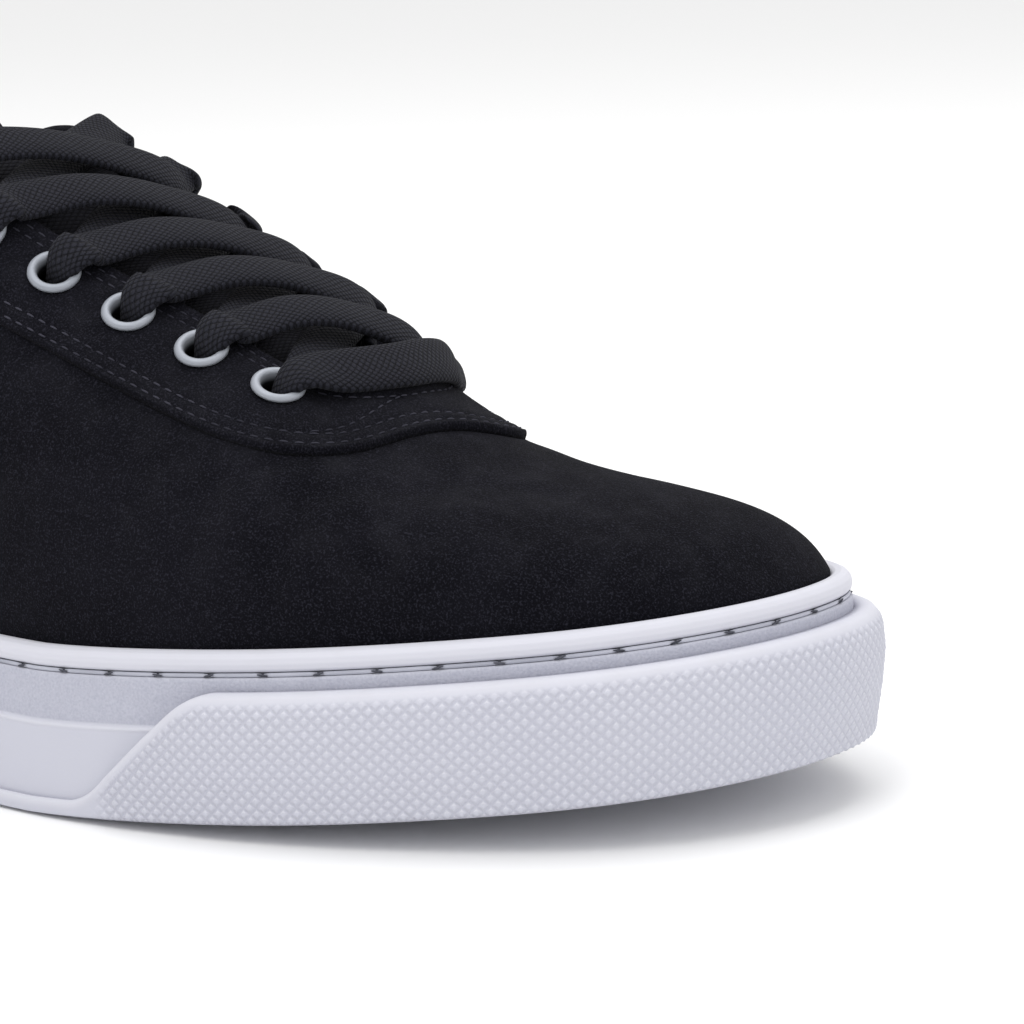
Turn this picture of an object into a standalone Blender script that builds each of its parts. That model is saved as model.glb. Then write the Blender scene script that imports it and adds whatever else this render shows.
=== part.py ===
"""Low skateboarding shoe for the right foot, standing empty on its cup sole.

Metres, +Z up, toe at +X, outer side of the foot at -Y. The form is a table of stations
around the shoe, from the back of the heel along the outer side to the toe and back along
the inner side. Each station gives the sole's widest line, the edge of the upper's opening,
and the curve of the wall between them. Sole, upper, eyestay, tongue, insole, eyelets and
laces are all worked out from it.
"""

import math
from typing import NamedTuple

import bmesh
import bpy
import numpy as np
from mathutils import Matrix, Vector

# Sole
SOLE_LENGTH = 0.298
BALL_WIDTH = 0.108
SIDE_HEIGHT = 0.0273
LEDGE = 0.0086
TOE_SPRING = 0.0096
FOREFOOT_FLOOR = 0.0085
HEEL_FLOOR = 0.0140
STRIP_HEIGHT = 0.0031
BUMPER_HEIGHT = 0.0212
FOXING_LIFT = 0.0005
GROOVE_PITCH = 0.0120
GROOVE_WIDTH = 0.0030
GROOVE_DEPTH = 0.0016
GROOVE_BORDER = 0.0100

# Upper
UPPER_HEIGHT = 0.0727
UPPER_WALL = 0.0020
EYESTAY_WALL = 0.0012
INSOLE_THICKNESS = 0.0040

# Tongue
TONGUE_THICKNESS = 0.0050
TONGUE_EDGE = 0.4
TONGUE_CROWN = 0.0030
TONGUE_TUCK = 0.0090
TONGUE_WING = 0.0150
TONGUE_GAP = 0.0018
TONGUE_RISE = 0.0300
TONGUE_LEAN = 0.87

# Eyelets and laces
EYELET_PAIRS = 6
EYELET_PITCH = 0.0156
EYELET_SETBACK = 0.0080
FIRST_EYELET = 0.0087
EYELET_RADIUS = 0.0044
EYELET_HOLE_RADIUS = 0.0028
EYELET_ROLL = 0.0009
BARREL_WALL = 0.0004
LACE_WIDTH = 0.0078
LACE_THICKNESS = 0.0014

# Where a lace dives under the edge, as a share of the way from its eyelet to the one before
LACE_DIVE = 0.38

# Gap between pieces that touch
CLEARANCE = 0.0003


class Station(NamedTuple):
    """One row around the shoe.

    along, edge_along are shares of SOLE_LENGTH, across and edge_across of BALL_WIDTH,
    edge_up, rise and drop of UPPER_HEIGHT, flare of LEDGE. reach is a share of the way
    in plan from the opening's edge back to the foot of the wall. stay is the width of the
    eyestay down from the opening's edge, as a share of BALL_WIDTH.
    """

    name: str
    along: float
    across: float
    edge_along: float
    edge_across: float
    edge_up: float
    rise: float
    flare: float
    reach: float
    drop: float
    stay: float


STATIONS = (
    Station("heel back", 0.000, 0.000, 0.040, 0.000, 0.752, 0.27, 0.55, 1.30, 0.27, 0.222),
    Station("heel corner, outer", 0.030, -0.222, 0.064, -0.157, 0.728, 0.27, 0.50, 1.20, 0.25, 0.222),
    Station("heel side, outer", 0.121, -0.347, 0.141, -0.250, 0.622, 0.20, 0.35, 1.00, 0.20, 0.222),
    Station("ankle, outer", 0.285, -0.356, 0.282, -0.269, 0.560, 0.20, 0.30, 1.00, 0.18, 0.222),
    Station("waist, outer", 0.436, -0.389, 0.416, -0.213, 1.020, 0.35, 0.15, 0.50, 0.20, 0.222),
    Station("behind the ball, outer", 0.574, -0.470, 0.537, -0.135, 0.838, 0.35, 0.20, 0.42, 0.08, 0.199),
    Station("ball, outer", 0.669, -0.486, 0.624, -0.112, 0.680, 0.30, 0.19, 0.43, 0.10, 0.211),
    Station("little toe", 0.765, -0.456, 0.685, -0.117, 0.572, 0.27, 0.20, 0.40, 0.09, 0.208),
    Station("fourth toe", 0.847, -0.383, 0.711, -0.095, 0.543, 0.26, 0.15, 0.38, 0.20, 0.167),
    Station("third toe", 0.921, -0.272, 0.724, -0.050, 0.532, 0.25, 0.02, 0.37, 0.25, 0.134),
    Station("toe front, outer", 0.974, -0.104, 0.729, 0.004, 0.522, 0.25, -0.60, 0.35, 0.25, 0.130),
    Station("toe tip", 0.996, 0.069, 0.730, 0.046, 0.518, 0.26, -1.10, 0.35, 0.26, 0.150),
    Station("big toe", 0.989, 0.237, 0.727, 0.102, 0.513, 0.26, -1.10, 0.33, 0.28, 0.178),
    Station("big toe, inner", 0.946, 0.370, 0.718, 0.148, 0.517, 0.23, -0.80, 0.33, 0.30, 0.194),
    Station("before the ball, inner", 0.866, 0.472, 0.695, 0.176, 0.548, 0.16, 0.00, 0.37, 0.31, 0.208),
    Station("ball, inner", 0.745, 0.509, 0.638, 0.199, 0.652, 0.17, 0.08, 0.38, 0.22, 0.211),
    Station("behind the ball, inner", 0.604, 0.454, 0.547, 0.213, 0.821, 0.28, 0.10, 0.42, 0.12, 0.199),
    Station("waist, inner", 0.436, 0.361, 0.416, 0.236, 1.020, 0.35, 0.05, 0.50, 0.20, 0.222),
    Station("ankle, inner", 0.285, 0.343, 0.282, 0.264, 0.560, 0.20, 0.25, 1.00, 0.18, 0.222),
    Station("heel side, inner", 0.121, 0.338, 0.141, 0.241, 0.622, 0.20, 0.35, 1.00, 0.20, 0.222),
    Station("heel corner, inner", 0.030, 0.222, 0.064, 0.157, 0.728, 0.27, 0.50, 1.20, 0.25, 0.222),
)


class SideRow(NamedTuple):
    """One level of the sole's side: height as a share of SIDE_HEIGHT, inset of LEDGE."""

    name: str
    up: float
    inset: float


CUP_SIDE = (
    SideRow("tread edge", 0.000, 0.320),
    SideRow("side wall", 0.020, 0.300),
    SideRow("panel, top", 0.552, 0.460),
    SideRow("band, foot", 0.570, 0.520),
    SideRow("band, top", 0.845, 0.585),
    SideRow("stitch groove, foot", 0.850, 0.700),
    SideRow("stitch groove, top", 0.873, 0.700),
    SideRow("bead, foot", 0.878, 0.640),
    SideRow("bead, widest", 0.925, 0.595),
    SideRow("bead, shoulder", 0.970, 0.640),
    SideRow("bead, crest", 1.000, 0.800),
)


class BumperRow(NamedTuple):
    """One level of the foxing's face: height as a share of BUMPER_HEIGHT, inset of LEDGE."""

    name: str
    up: float
    inset: float


BUMPER_FACE = (
    BumperRow("foot", 0.000, 0.180),
    BumperRow("strip top", 0.146, 0.160),
    BumperRow("widest", 0.660, 0.000),
    BumperRow("shoulder", 0.870, 0.080),
    BumperRow("ridge", 1.000, 0.350),
)

# Share of the foxing's own height at each row, and the extra inset that rounds its edges
FOXING_ROWS = ((0.00, 0.03), (0.06, 0.00), (0.36, 0.00), (0.66, 0.00), (0.88, 0.00), (1.00, 0.06))

# Where the toe bumper's slanted end starts and where it reaches full height, along the sole
BUMPER_END_FOOT = 0.640
BUMPER_END_TOP = 0.715

# Toe spring starts here along the sole, and grows as this power
SPRING_START = 0.600
SPRING_POWER = 1.20

# Where the cup's floor comes down from the heel's height to the forefoot's
FLOOR_HEEL_END = 0.300
FLOOR_FOREFOOT_START = 0.620

# Mesh steps between two stations, up the upper's wall, and along a lace
STEPS = 3
WALL_STEPS = 8
LACE_STEPS = 7


# Stations between which the eyestay runs round the throat, its mesh steps down the wall, and
# the stations over which its rounded back corners narrow to a share of its width
STAY_ENDS = (3.6, 17.4)
STAY_STEPS = 6
STAY_CORNER = 0.75
STAY_CORNER_WIDTH = 0.45

# Stations of the throat's two sides, from the top eyelets to the toe end
OUTER_THROAT = (4.0, 9.5)
INNER_THROAT = (17.0, 11.5)

# Stations across the root of the tongue, which lies under the vamp
TONGUE_ROOT = (7.7, 8.1, 8.6, 9.3, 10.5, 11.7, 12.5, 13.1, 13.8)


class FreeRow(NamedTuple):
    """A section of the tongue above the throat: share of TONGUE_RISE, and of its width."""

    name: str
    rise: float
    width: float


TONGUE_TOP = (
    FreeRow("above the throat", 0.35, 0.91),
    FreeRow("below the top edge", 0.80, 0.91),
    FreeRow("top edge", 1.00, 0.74),
)


class Finish(NamedTuple):
    """Colour, roughness and metallic value of a material."""

    colour: tuple
    roughness: float
    metallic: float


FINISHES = {
    "sole_rubber": Finish((0.62, 0.62, 0.68), 0.55, 0.0),
    "suede": Finish((0.011, 0.011, 0.016), 0.95, 0.0),
    "tongue_cloth": Finish((0.016, 0.016, 0.021), 0.90, 0.0),
    "insole_cloth": Finish((0.020, 0.020, 0.024), 0.90, 0.0),
    "lace_weave": Finish((0.024, 0.024, 0.032), 0.85, 0.0),
    "eyelet_metal": Finish((0.38, 0.40, 0.45), 0.35, 1.0),
}


def clear_scene():
    """Remove every object that the scene starts with."""
    for thing in list(bpy.data.objects):
        bpy.data.objects.remove(thing, do_unlink=True)


def smooth_loop(values):
    """Knots and second derivatives of a closed cubic spline through rows of values."""
    count = len(values)
    chord = np.linalg.norm(np.roll(values[:, :2], -1, axis=0) - values[:, :2], axis=1)
    step = np.sqrt(chord)
    system = np.zeros((count, count))
    target = np.zeros_like(values)
    for row in range(count):
        before, after = step[row - 1], step[row]
        system[row, row - 1] += before
        system[row, row] += 2 * (before + after)
        system[row, (row + 1) % count] += after
        ahead = (values[(row + 1) % count] - values[row]) / after
        behind = (values[row] - values[row - 1]) / before
        target[row] = 6 * (ahead - behind)
    return step, np.linalg.solve(system, target)


def sized_stations():
    """Stations as rows of real sizes, in the order of the fields of Station."""
    sizes = (SOLE_LENGTH, BALL_WIDTH, SOLE_LENGTH, BALL_WIDTH, UPPER_HEIGHT,
             UPPER_HEIGHT, LEDGE, 1.0, UPPER_HEIGHT, BALL_WIDTH)
    return np.array([row[1:] for row in STATIONS]) * np.array(sizes)


STATION_SIZES = sized_stations()
STATION_STEP, STATION_BEND = smooth_loop(STATION_SIZES)
COLUMNS = np.arange(len(STATIONS) * STEPS) / STEPS


def form(places):
    """Values of every station column at places, counted in stations from the heel back."""
    places = np.asarray(places, float) % len(STATIONS)
    low = np.floor(places).astype(int)
    high = (low + 1) % len(STATIONS)
    step = STATION_STEP[low][:, None]
    right = (places - low)[:, None]
    left = 1 - right
    line = left * STATION_SIZES[low] + right * STATION_SIZES[high]
    bend = (left ** 3 - left) * STATION_BEND[low] + (right ** 3 - right) * STATION_BEND[high]
    return line + bend * step ** 2 / 6


def inward(places):
    """Unit vectors in plan that point from the sole's widest line to its inside."""
    nudge = 0.02
    run = (form(places + nudge) - form(places - nudge))[:, :2]
    side = np.stack([-run[:, 1], run[:, 0]], axis=1)
    return side / np.linalg.norm(side, axis=1)[:, None]


def ground(along):
    """Height of the tread above the floor, at a distance along the sole."""
    start = SPRING_START * SOLE_LENGTH
    share = np.clip((along - start) / (SOLE_LENGTH - start), 0, None)
    return TOE_SPRING * share ** SPRING_POWER


def cup_floor(along):
    """Height of the cup's floor above the tread, at a distance along the sole."""
    share = (along / SOLE_LENGTH - FLOOR_HEEL_END) / (FLOOR_FOREFOOT_START - FLOOR_HEEL_END)
    share = np.clip(share, 0, 1)
    ease = share * share * (3 - 2 * share)
    return HEEL_FLOOR + (FOREFOOT_FLOOR - HEEL_FLOOR) * ease


def ring(places, inset, height):
    """Points around the sole, inset in plan from its widest line, above the tread."""
    plan = form(places)[:, :2] + inward(places) * np.reshape(inset, (-1, 1))
    return np.column_stack([plan, ground(plan[:, 0]) + height])


def floor_ring(inset, lift):
    """Points around the shoe, lifted from the cup's floor."""
    level = ring(COLUMNS, inset, 0)
    level[:, 2] += cup_floor(level[:, 0]) + lift
    return level


def wall(places, share):
    """Points on the outside of the upper's wall, share 0 at the rim and 1 at the opening."""
    places = np.atleast_1d(np.asarray(places, float))
    values = form(places)
    foot = ring(places, LEDGE, SIDE_HEIGHT)
    edge = np.column_stack([values[:, 2:4], SIDE_HEIGHT + values[:, 4]])
    low = foot.copy()
    low[:, :2] -= inward(places) * values[:, 6:7]
    low[:, 2] += values[:, 5]
    high = edge.copy()
    high[:, :2] += (foot - edge)[:, :2] * values[:, 7:8]
    high[:, 2] -= values[:, 8]
    share = np.reshape(share, (-1, 1))
    rest = 1 - share
    return (rest ** 3 * foot + 3 * rest ** 2 * share * low
            + 3 * rest * share ** 2 * high + share ** 3 * edge)


def outward(places, share):
    """Unit normals of the upper's outside."""
    places = np.atleast_1d(np.asarray(places, float))
    nudge = 0.01
    around = wall(places + nudge, share) - wall(places - nudge, share)
    low = np.clip(share - nudge, 0, 1)
    high = np.clip(share + nudge, 0, 1)
    upward = wall(places, high) - wall(places, low)
    normal = np.cross(around, upward)
    return normal / np.linalg.norm(normal, axis=1)[:, None]


def share_below_edge(place, distance):
    """Share of the wall that lies a distance below the opening's edge."""
    shares = np.linspace(1, 0, 200)
    track = wall(np.full(shares.shape, place), shares)
    run = np.concatenate([[0], np.cumsum(np.linalg.norm(np.diff(track, axis=0), axis=1))])
    return float(np.interp(distance, run, shares))


def parts_collection(name):
    """A new collection in the scene."""
    group = bpy.data.collections.new(name)
    bpy.context.scene.collection.children.link(group)
    return group


def make_material(name):
    """A Principled material with one of the named finishes."""
    finish = FINISHES[name]
    material = bpy.data.materials.new(name)
    material.use_nodes = True
    shader = material.node_tree.nodes["Principled BSDF"]
    shader.inputs["Base Color"].default_value = (*finish.colour, 1.0)
    shader.inputs["Roughness"].default_value = finish.roughness
    shader.inputs["Metallic"].default_value = finish.metallic
    return material


class Shop:
    """What the pieces are made into: their collections, materials and parent empty."""

    def __init__(self):
        self.parts = parts_collection("skateboarding_shoe")
        self.cutters = parts_collection("cutters")
        self.materials = {name: make_material(name) for name in FINISHES}
        self.stand = bpy.data.objects.new("stand", None)
        self.parts.objects.link(self.stand)

    def add(self, name, mesh, finish):
        """Add a mesh as a named part with its finish."""
        mesh.materials.clear()
        mesh.materials.append(self.materials[finish])
        mesh.shade_smooth()
        mesh.set_sharp_from_angle(angle=math.radians(40))
        piece = bpy.data.objects.new(name, mesh)
        self.parts.objects.link(piece)
        piece.parent = self.stand
        return piece

    def add_cutter(self, name, mesh):
        """Add a mesh as a cutter, which stays out of the render."""
        cutter = bpy.data.objects.new(name, mesh)
        self.cutters.objects.link(cutter)
        cutter.parent = self.stand
        cutter.hide_render = True
        cutter.display_type = "WIRE"
        return cutter


def boolean(piece, cutter, operation):
    """Add an exact Boolean modifier to a piece."""
    step = piece.modifiers.new(operation.lower(), "BOOLEAN")
    step.operation = operation
    step.solver = "EXACT"
    step.object = cutter


def ladder(count):
    """Faces that close a ring of columns, each a rung from the outer to the inner side."""
    faces = [(0, 1, count - 1)]
    for rung in range(1, (count - 1) // 2):
        faces.append((rung, rung + 1, count - rung - 1, count - rung))
    if count % 2 == 0:
        half = count // 2
        faces.append((half - 1, half, half + 1))
    return faces


def loft(rings, name, closed=False, caps=False):
    """Mesh through rings of equal count: closed joins last to first, caps closes both ends."""
    shape = bmesh.new()
    rows = [[shape.verts.new(point) for point in level] for level in rings]
    count = len(rows[0])
    pairs = list(zip(rows, rows[1:]))
    if closed:
        pairs.append((rows[-1], rows[0]))
    for lower, upper in pairs:
        for column in range(count):
            beside = (column + 1) % count
            shape.faces.new((lower[column], lower[beside], upper[beside], upper[column]))
    if caps:
        for face in ladder(count):
            shape.faces.new([rows[0][index] for index in face])
            shape.faces.new([rows[-1][index] for index in face])
    bmesh.ops.recalc_face_normals(shape, faces=shape.faces)
    mesh = bpy.data.meshes.new(name)
    shape.to_mesh(mesh)
    shape.free()
    return mesh


def boxes(name, places):
    """Mesh of boxes, each given by its matrix on a cube of side 1."""
    shape = bmesh.new()
    for place in places:
        bmesh.ops.create_cube(shape, size=1.0, matrix=place)
    mesh = bpy.data.meshes.new(name)
    shape.to_mesh(mesh)
    shape.free()
    return mesh


def cup_inset(height):
    """Inset of the cup's side from the widest line, at a height above the tread."""
    levels = [row.up * SIDE_HEIGHT for row in CUP_SIDE]
    insets = [row.inset * LEDGE for row in CUP_SIDE]
    return np.interp(height, levels, insets)


def tread_grooves():
    """Boxes that cut the tread's cross grooves."""
    half = len(COLUMNS) // 2
    outer = ring(COLUMNS[:half + 1], cup_inset(0), 0)
    inner = ring(COLUMNS[half:], cup_inset(0), 0)[::-1]
    places = []
    count = int((SOLE_LENGTH - 2 * GROOVE_BORDER) / GROOVE_PITCH)
    start = (SOLE_LENGTH - (count - 1) * GROOVE_PITCH) / 2
    for index in range(count):
        along = start + index * GROOVE_PITCH
        low = np.interp(along, outer[:, 0], outer[:, 1]) + GROOVE_BORDER
        high = np.interp(along, inner[:, 0], inner[:, 1]) - GROOVE_BORDER
        slope = float(ground(along + GROOVE_WIDTH) - ground(along)) / GROOVE_WIDTH
        if high - low < GROOVE_BORDER:
            continue
        centre = Vector((along, (low + high) / 2, float(ground(along))))
        tilt = Matrix.Rotation(-math.atan(slope), 4, "Y")
        size = Matrix.Diagonal((GROOVE_WIDTH, high - low, 2 * GROOVE_DEPTH, 1))
        places.append(Matrix.Translation(centre) @ tilt @ size)
    return boxes("tread_grooves", places)


def add_cupsole(shop):
    """One-piece rubber cup: tread, side with panel, band, stitch groove and bead, and hollow."""
    rings = [ring(COLUMNS, row.inset * LEDGE, row.up * SIDE_HEIGHT) for row in CUP_SIDE]
    inner = LEDGE - CLEARANCE
    rings.append(ring(COLUMNS, inner, SIDE_HEIGHT - CLEARANCE))
    rings.append(floor_ring(inner, 0))
    cup = shop.add("cupsole", loft(rings, "cupsole", caps=True), "sole_rubber")
    boolean(cup, shop.add_cutter("tread_grooves", tread_grooves()), "DIFFERENCE")


def foxing_height(places):
    """Height of the foxing: a low strip, and the tall bumper round the toe."""
    along = form(places)[:, 0] / SOLE_LENGTH
    share = np.clip((along - BUMPER_END_FOOT) / (BUMPER_END_TOP - BUMPER_END_FOOT), 0, 1)
    return STRIP_HEIGHT + (BUMPER_HEIGHT - STRIP_HEIGHT) * share


def face_inset(height):
    """Inset of the foxing's face from the widest line, at a height above the tread."""
    levels = [row.up * BUMPER_HEIGHT for row in BUMPER_FACE]
    insets = [row.inset * LEDGE for row in BUMPER_FACE]
    return np.interp(height, levels, insets)


def add_foxing(shop):
    """Rubber strip round the foot of the side, which rises into the toe bumper."""
    top = foxing_height(COLUMNS)
    rings = []
    for share, extra in FOXING_ROWS:
        height = FOXING_LIFT + (top - FOXING_LIFT) * share
        rings.append(ring(COLUMNS, face_inset(height) + extra * LEDGE, height))
    foot_inset = cup_inset(0.02 * SIDE_HEIGHT) - CLEARANCE
    ridge_inset = foot_inset + (cup_inset(BUMPER_HEIGHT) - 2 * CLEARANCE - foot_inset)
    lean = (ridge_inset - foot_inset) / BUMPER_HEIGHT
    panel_top = 0.552 * SIDE_HEIGHT
    lean = min(lean, (cup_inset(panel_top) - CLEARANCE - foot_inset) / panel_top)
    rings.append(ring(COLUMNS, foot_inset + lean * top, top))
    rings.append(ring(COLUMNS, np.full(len(top), foot_inset), FOXING_LIFT))
    shop.add("foxing", loft(rings, "foxing", closed=True), "sole_rubber")


def add_insole(shop):
    """Footbed on the cup's floor, inside the upper's wall."""
    inset = LEDGE + UPPER_WALL + CLEARANCE
    rings = [floor_ring(inset, CLEARANCE), floor_ring(inset, CLEARANCE + INSOLE_THICKNESS)]
    shop.add("insole", loft(rings, "insole", caps=True), "insole_cloth")


def eyelet_spots():
    """Place and share of the wall of each eyelet's centre: outer side, then inner side."""
    front = STATION_SIZES[:, 2].max()
    spots = []
    for places in (np.linspace(10.4, 3.8, 67), np.linspace(10.6, 17.2, 67)):
        shares = np.array([share_below_edge(place, EYELET_SETBACK) for place in places])
        track = wall(places, shares)
        run = np.concatenate([[0], np.cumsum(np.linalg.norm(np.diff(track, axis=0), axis=1))])
        behind = track[:, 0] < front - FIRST_EYELET
        start = run[np.argmax(behind)]
        stops = start + EYELET_PITCH * np.arange(EYELET_PAIRS)
        spots.append([(float(np.interp(stop, run, places)), float(np.interp(stop, run, shares)))
                      for stop in stops])
    return spots


def eyelet_frame(spot, lift=0.0):
    """Matrix at an eyelet's centre, with Z along the upper's normal."""
    place, share = spot
    normal = Vector(outward(place, share)[0])
    centre = Vector(wall(place, share)[0]) + normal * lift
    turn = normal.to_track_quat("Z", "Y").to_matrix().to_4x4()
    return Matrix.Translation(centre) @ turn


def lace_holes(spots):
    """Cylinders that cut the holes for the eyelets' barrels."""
    shape = bmesh.new()
    radius = EYELET_HOLE_RADIUS + BARREL_WALL + CLEARANCE
    for spot in spots:
        bmesh.ops.create_cone(
            shape, cap_ends=True, segments=12, radius1=radius, radius2=radius,
            depth=4 * (UPPER_WALL + EYESTAY_WALL), matrix=eyelet_frame(spot))
    mesh = bpy.data.meshes.new("lace_holes")
    shape.to_mesh(mesh)
    shape.free()
    return mesh


def add_upper(shop, holes):
    """Hollow upper, open at the collar and throat and underneath."""
    rings = [floor_ring(LEDGE, CLEARANCE)]
    rings += [wall(COLUMNS, (step / WALL_STEPS) ** 0.75) for step in range(WALL_STEPS + 1)]
    upper = shop.add("upper", loft(rings, "upper"), "suede")
    lining = upper.modifiers.new("wall", "SOLIDIFY")
    lining.thickness = UPPER_WALL
    lining.offset = -1
    lining.use_even_offset = True
    boolean(upper, holes, "DIFFERENCE")


def smooth_track(points, count):
    """Points along a smooth open curve through a few points."""
    points = np.asarray(points, float)
    ends = np.vstack([2 * points[0] - points[1], points, 2 * points[-1] - points[-2]])
    track = []
    for place in np.linspace(0, len(points) - 1, count):
        low = min(int(place), len(points) - 2)
        share = place - low
        before, start, finish, after = ends[low:low + 4]
        track.append(0.5 * (2 * start + (finish - before) * share
                            + (2 * before - 5 * start + 4 * finish - after) * share ** 2
                            + (3 * start - before - 3 * finish + after) * share ** 3))
    return np.array(track)


def add_eyestay(shop, holes):
    """Overlay round the throat that carries the eyelets, on the upper's own form."""
    first, last = STAY_ENDS
    rings = []
    for place in COLUMNS[(COLUMNS >= first) & (COLUMNS <= last)]:
        corner = min(1, min(place - first, last - place) / STAY_CORNER)
        width = float(form([place])[0, -1]) * (1 - (1 - STAY_CORNER_WIDTH) * (1 - corner) ** 2)
        shares = np.linspace(share_below_edge(place, width), 1, STAY_STEPS + 1)
        column = np.full(len(shares), place)
        skin, normal = wall(column, shares), outward(column, shares)
        under = skin + normal * 2 * CLEARANCE
        face = under + normal * EYESTAY_WALL
        rings.append(np.vstack([under, face[::-1]]))
    stay = shop.add("eyestay", loft(rings, "eyestay", caps=True), "suede")
    boolean(stay, holes, "DIFFERENCE")


def under_wall(place, share, gap):
    """Point inside the shoe, a gap away from the upper's wall."""
    return wall(place, share)[0] - outward(place, share)[0] * (UPPER_WALL + gap)


def throat_line(ends, distance):
    """Points inside the wall along one side of the throat, a distance below its edge."""
    places = np.linspace(*ends, 45)
    shares = [share_below_edge(place, distance) for place in places]
    return np.array([under_wall(place, share, TONGUE_GAP) for place, share in zip(places, shares)])


def share_at(place, along):
    """Share of the wall, at a station by the toe, that lies at a distance along the sole."""
    shares = np.linspace(1, 0.2, 200)
    track = wall(np.full(shares.shape, place), shares)[:, 0]
    return float(np.interp(along, track, shares))


def tongue_sections():
    """Points across the tongue, from its root under the vamp to its top edge."""
    depths = (TONGUE_WING, 0.6 * TONGUE_WING, 0.25 * TONGUE_WING, 0)
    outer = [throat_line(OUTER_THROAT, depth) for depth in depths]
    inner = [throat_line(INNER_THROAT, depth) for depth in depths[::-1]]
    front = STATION_SIZES[:, 2].max()
    back = float(form([OUTER_THROAT[0]])[0, 2])
    root = front + TONGUE_TUCK
    sections = [[under_wall(place, share_at(place, root), 2 * CLEARANCE) for place in TONGUE_ROOT]]
    for along in np.linspace(front - 2 * CLEARANCE, back, 9):
        sides = [[[np.interp(along, line[:, 0], line[:, axis]) for axis in range(3)]
                  for line in lines] for lines in (outer, inner)]
        middle = (np.array(sides[0][-1]) + np.array(sides[1][0])) / 2
        middle[2] += TONGUE_CROWN * min(1, (front - along) / EYELET_PITCH)
        sections.append([*sides[0], middle, *sides[1]])
    top = np.array(sections[-1])
    centre = (top[0, 1] + top[-1, 1]) / 2
    run = np.array([-math.cos(TONGUE_LEAN), 0, math.sin(TONGUE_LEAN)]) * TONGUE_RISE
    for row in TONGUE_TOP:
        raised = top + run * row.rise
        raised[:, 1] = centre + (raised[:, 1] - centre) * row.width
        sections.append(raised)
    return sections


def padded_ring(section, run):
    """Closed ring round a section of the tongue: its top side, and its lower side below it."""
    tangent = np.gradient(section, axis=0)
    down = np.cross(tangent, run)
    down /= np.linalg.norm(down, axis=1)[:, None]
    if down[len(down) // 2, 2] > 0:
        down = -down
    side = np.linspace(-1, 1, len(section))[:, None]
    depth = TONGUE_THICKNESS * (1 - (1 - TONGUE_EDGE) * side ** 4)
    return np.vstack([section, (section + down * depth)[::-1]])


def add_tongue(shop):
    """Padded tongue under the eyestay, from below the vamp to above the collar."""
    rows = np.array([smooth_track(section, 17) for section in tongue_sections()])
    middles = rows[:, rows.shape[1] // 2]
    runs = np.gradient(middles, axis=0)
    rings = [padded_ring(section, run) for section, run in zip(rows, runs)]
    shop.add("tongue", loft(rings, "tongue", caps=True), "tongue_cloth")


def eyelet_mesh():
    """Rolled ring with its barrel, turned about Z; Z 0 lies on the upper's outside."""
    seat = EYESTAY_WALL + 4 * CLEARANCE
    bore = EYELET_HOLE_RADIUS
    barrel = bore + BARREL_WALL
    middle = (EYELET_RADIUS + bore) / 2
    profile = [
        (barrel, -UPPER_WALL),
        (barrel, seat),
        (EYELET_RADIUS, seat),
        (middle, seat + EYELET_ROLL),
        (bore, seat + 0.5 * EYELET_ROLL),
        (bore, -UPPER_WALL),
    ]
    sides = 10
    rings = []
    for radius, height in profile:
        turns = [2 * math.pi * side / sides for side in range(sides)]
        rings.append([(radius * math.cos(a), radius * math.sin(a), height) for a in turns])
    return loft(rings, "eyelet", closed=True)


def add_eyelets(shop, spots):
    """Metal eyelets along both sides of the throat."""
    ringed = eyelet_mesh()
    for side, places in zip(("outer", "inner"), spots):
        for number, spot in enumerate(places, start=1):
            eyelet = shop.add(f"eyelet_{side}_{number}", ringed, "eyelet_metal")
            eyelet.matrix_local = eyelet_frame(spot)


def strap(stops, name):
    """Flat band through stops, each a point and the direction that the band faces there."""
    track = smooth_track([point for point, facing in stops], LACE_STEPS)
    facings = smooth_track([facing for point, facing in stops], LACE_STEPS)
    rings = []
    for index, point in enumerate(track):
        ahead = track[min(index + 1, len(track) - 1)]
        behind = track[max(index - 1, 0)]
        run = Vector(ahead - behind).normalized()
        side = Vector(facings[index]).cross(run).normalized()
        face = run.cross(side).normalized()
        wide, thick = side * (LACE_WIDTH / 2), face * (LACE_THICKNESS / 2)
        centre = Vector(point)
        rings.append([centre - wide - thick, centre + wide - thick,
                      centre + wide + thick, centre - wide + thick])
    shape = bmesh.new()
    rows = [[shape.verts.new(corner) for corner in level] for level in rings]
    for lower, upper in zip(rows, rows[1:]):
        for column in range(4):
            beside = (column + 1) % 4
            shape.faces.new((lower[column], lower[beside], upper[beside], upper[column]))
    shape.faces.new(rows[0])
    shape.faces.new(rows[-1])
    bmesh.ops.recalc_face_normals(shape, faces=shape.faces)
    mesh = bpy.data.meshes.new(name)
    shape.to_mesh(mesh)
    shape.free()
    return mesh


def lace_height():
    """Height of a lace's middle above the upper, where it passes over an eyelet."""
    return EYESTAY_WALL + EYELET_ROLL + LACE_THICKNESS / 2 + 6 * CLEARANCE


def over_eyelet(spot):
    """Stop of a lace above an eyelet."""
    frame = eyelet_frame(spot, lace_height())
    return np.array(frame.translation), np.array(frame.col[2][:3])


def over_edge(place):
    """Stop of a lace above the eyestay, at the edge of the throat."""
    facing = outward(place, 1.0)[0]
    return wall(place, 1.0)[0] + facing * lace_height(), facing


def between(near, far, lift):
    """Stop of a lace above the tongue, in the middle of two stops."""
    return (near[0] + far[0]) / 2 + np.array([0, 0, TONGUE_CROWN + lift]), near[1] + far[1]


def lace_from_eyelet(start, far_place, lift):
    """Stops of a lace from above an eyelet to the far edge of the throat, where it dives."""
    near, far = over_edge(start[0]), over_edge(far_place)
    across = far[0] - near[0]
    end = far[0] - across * LACE_THICKNESS / np.linalg.norm(across)
    return [over_eyelet(start), near, between(near, far, lift), (end, far[1])]


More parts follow.
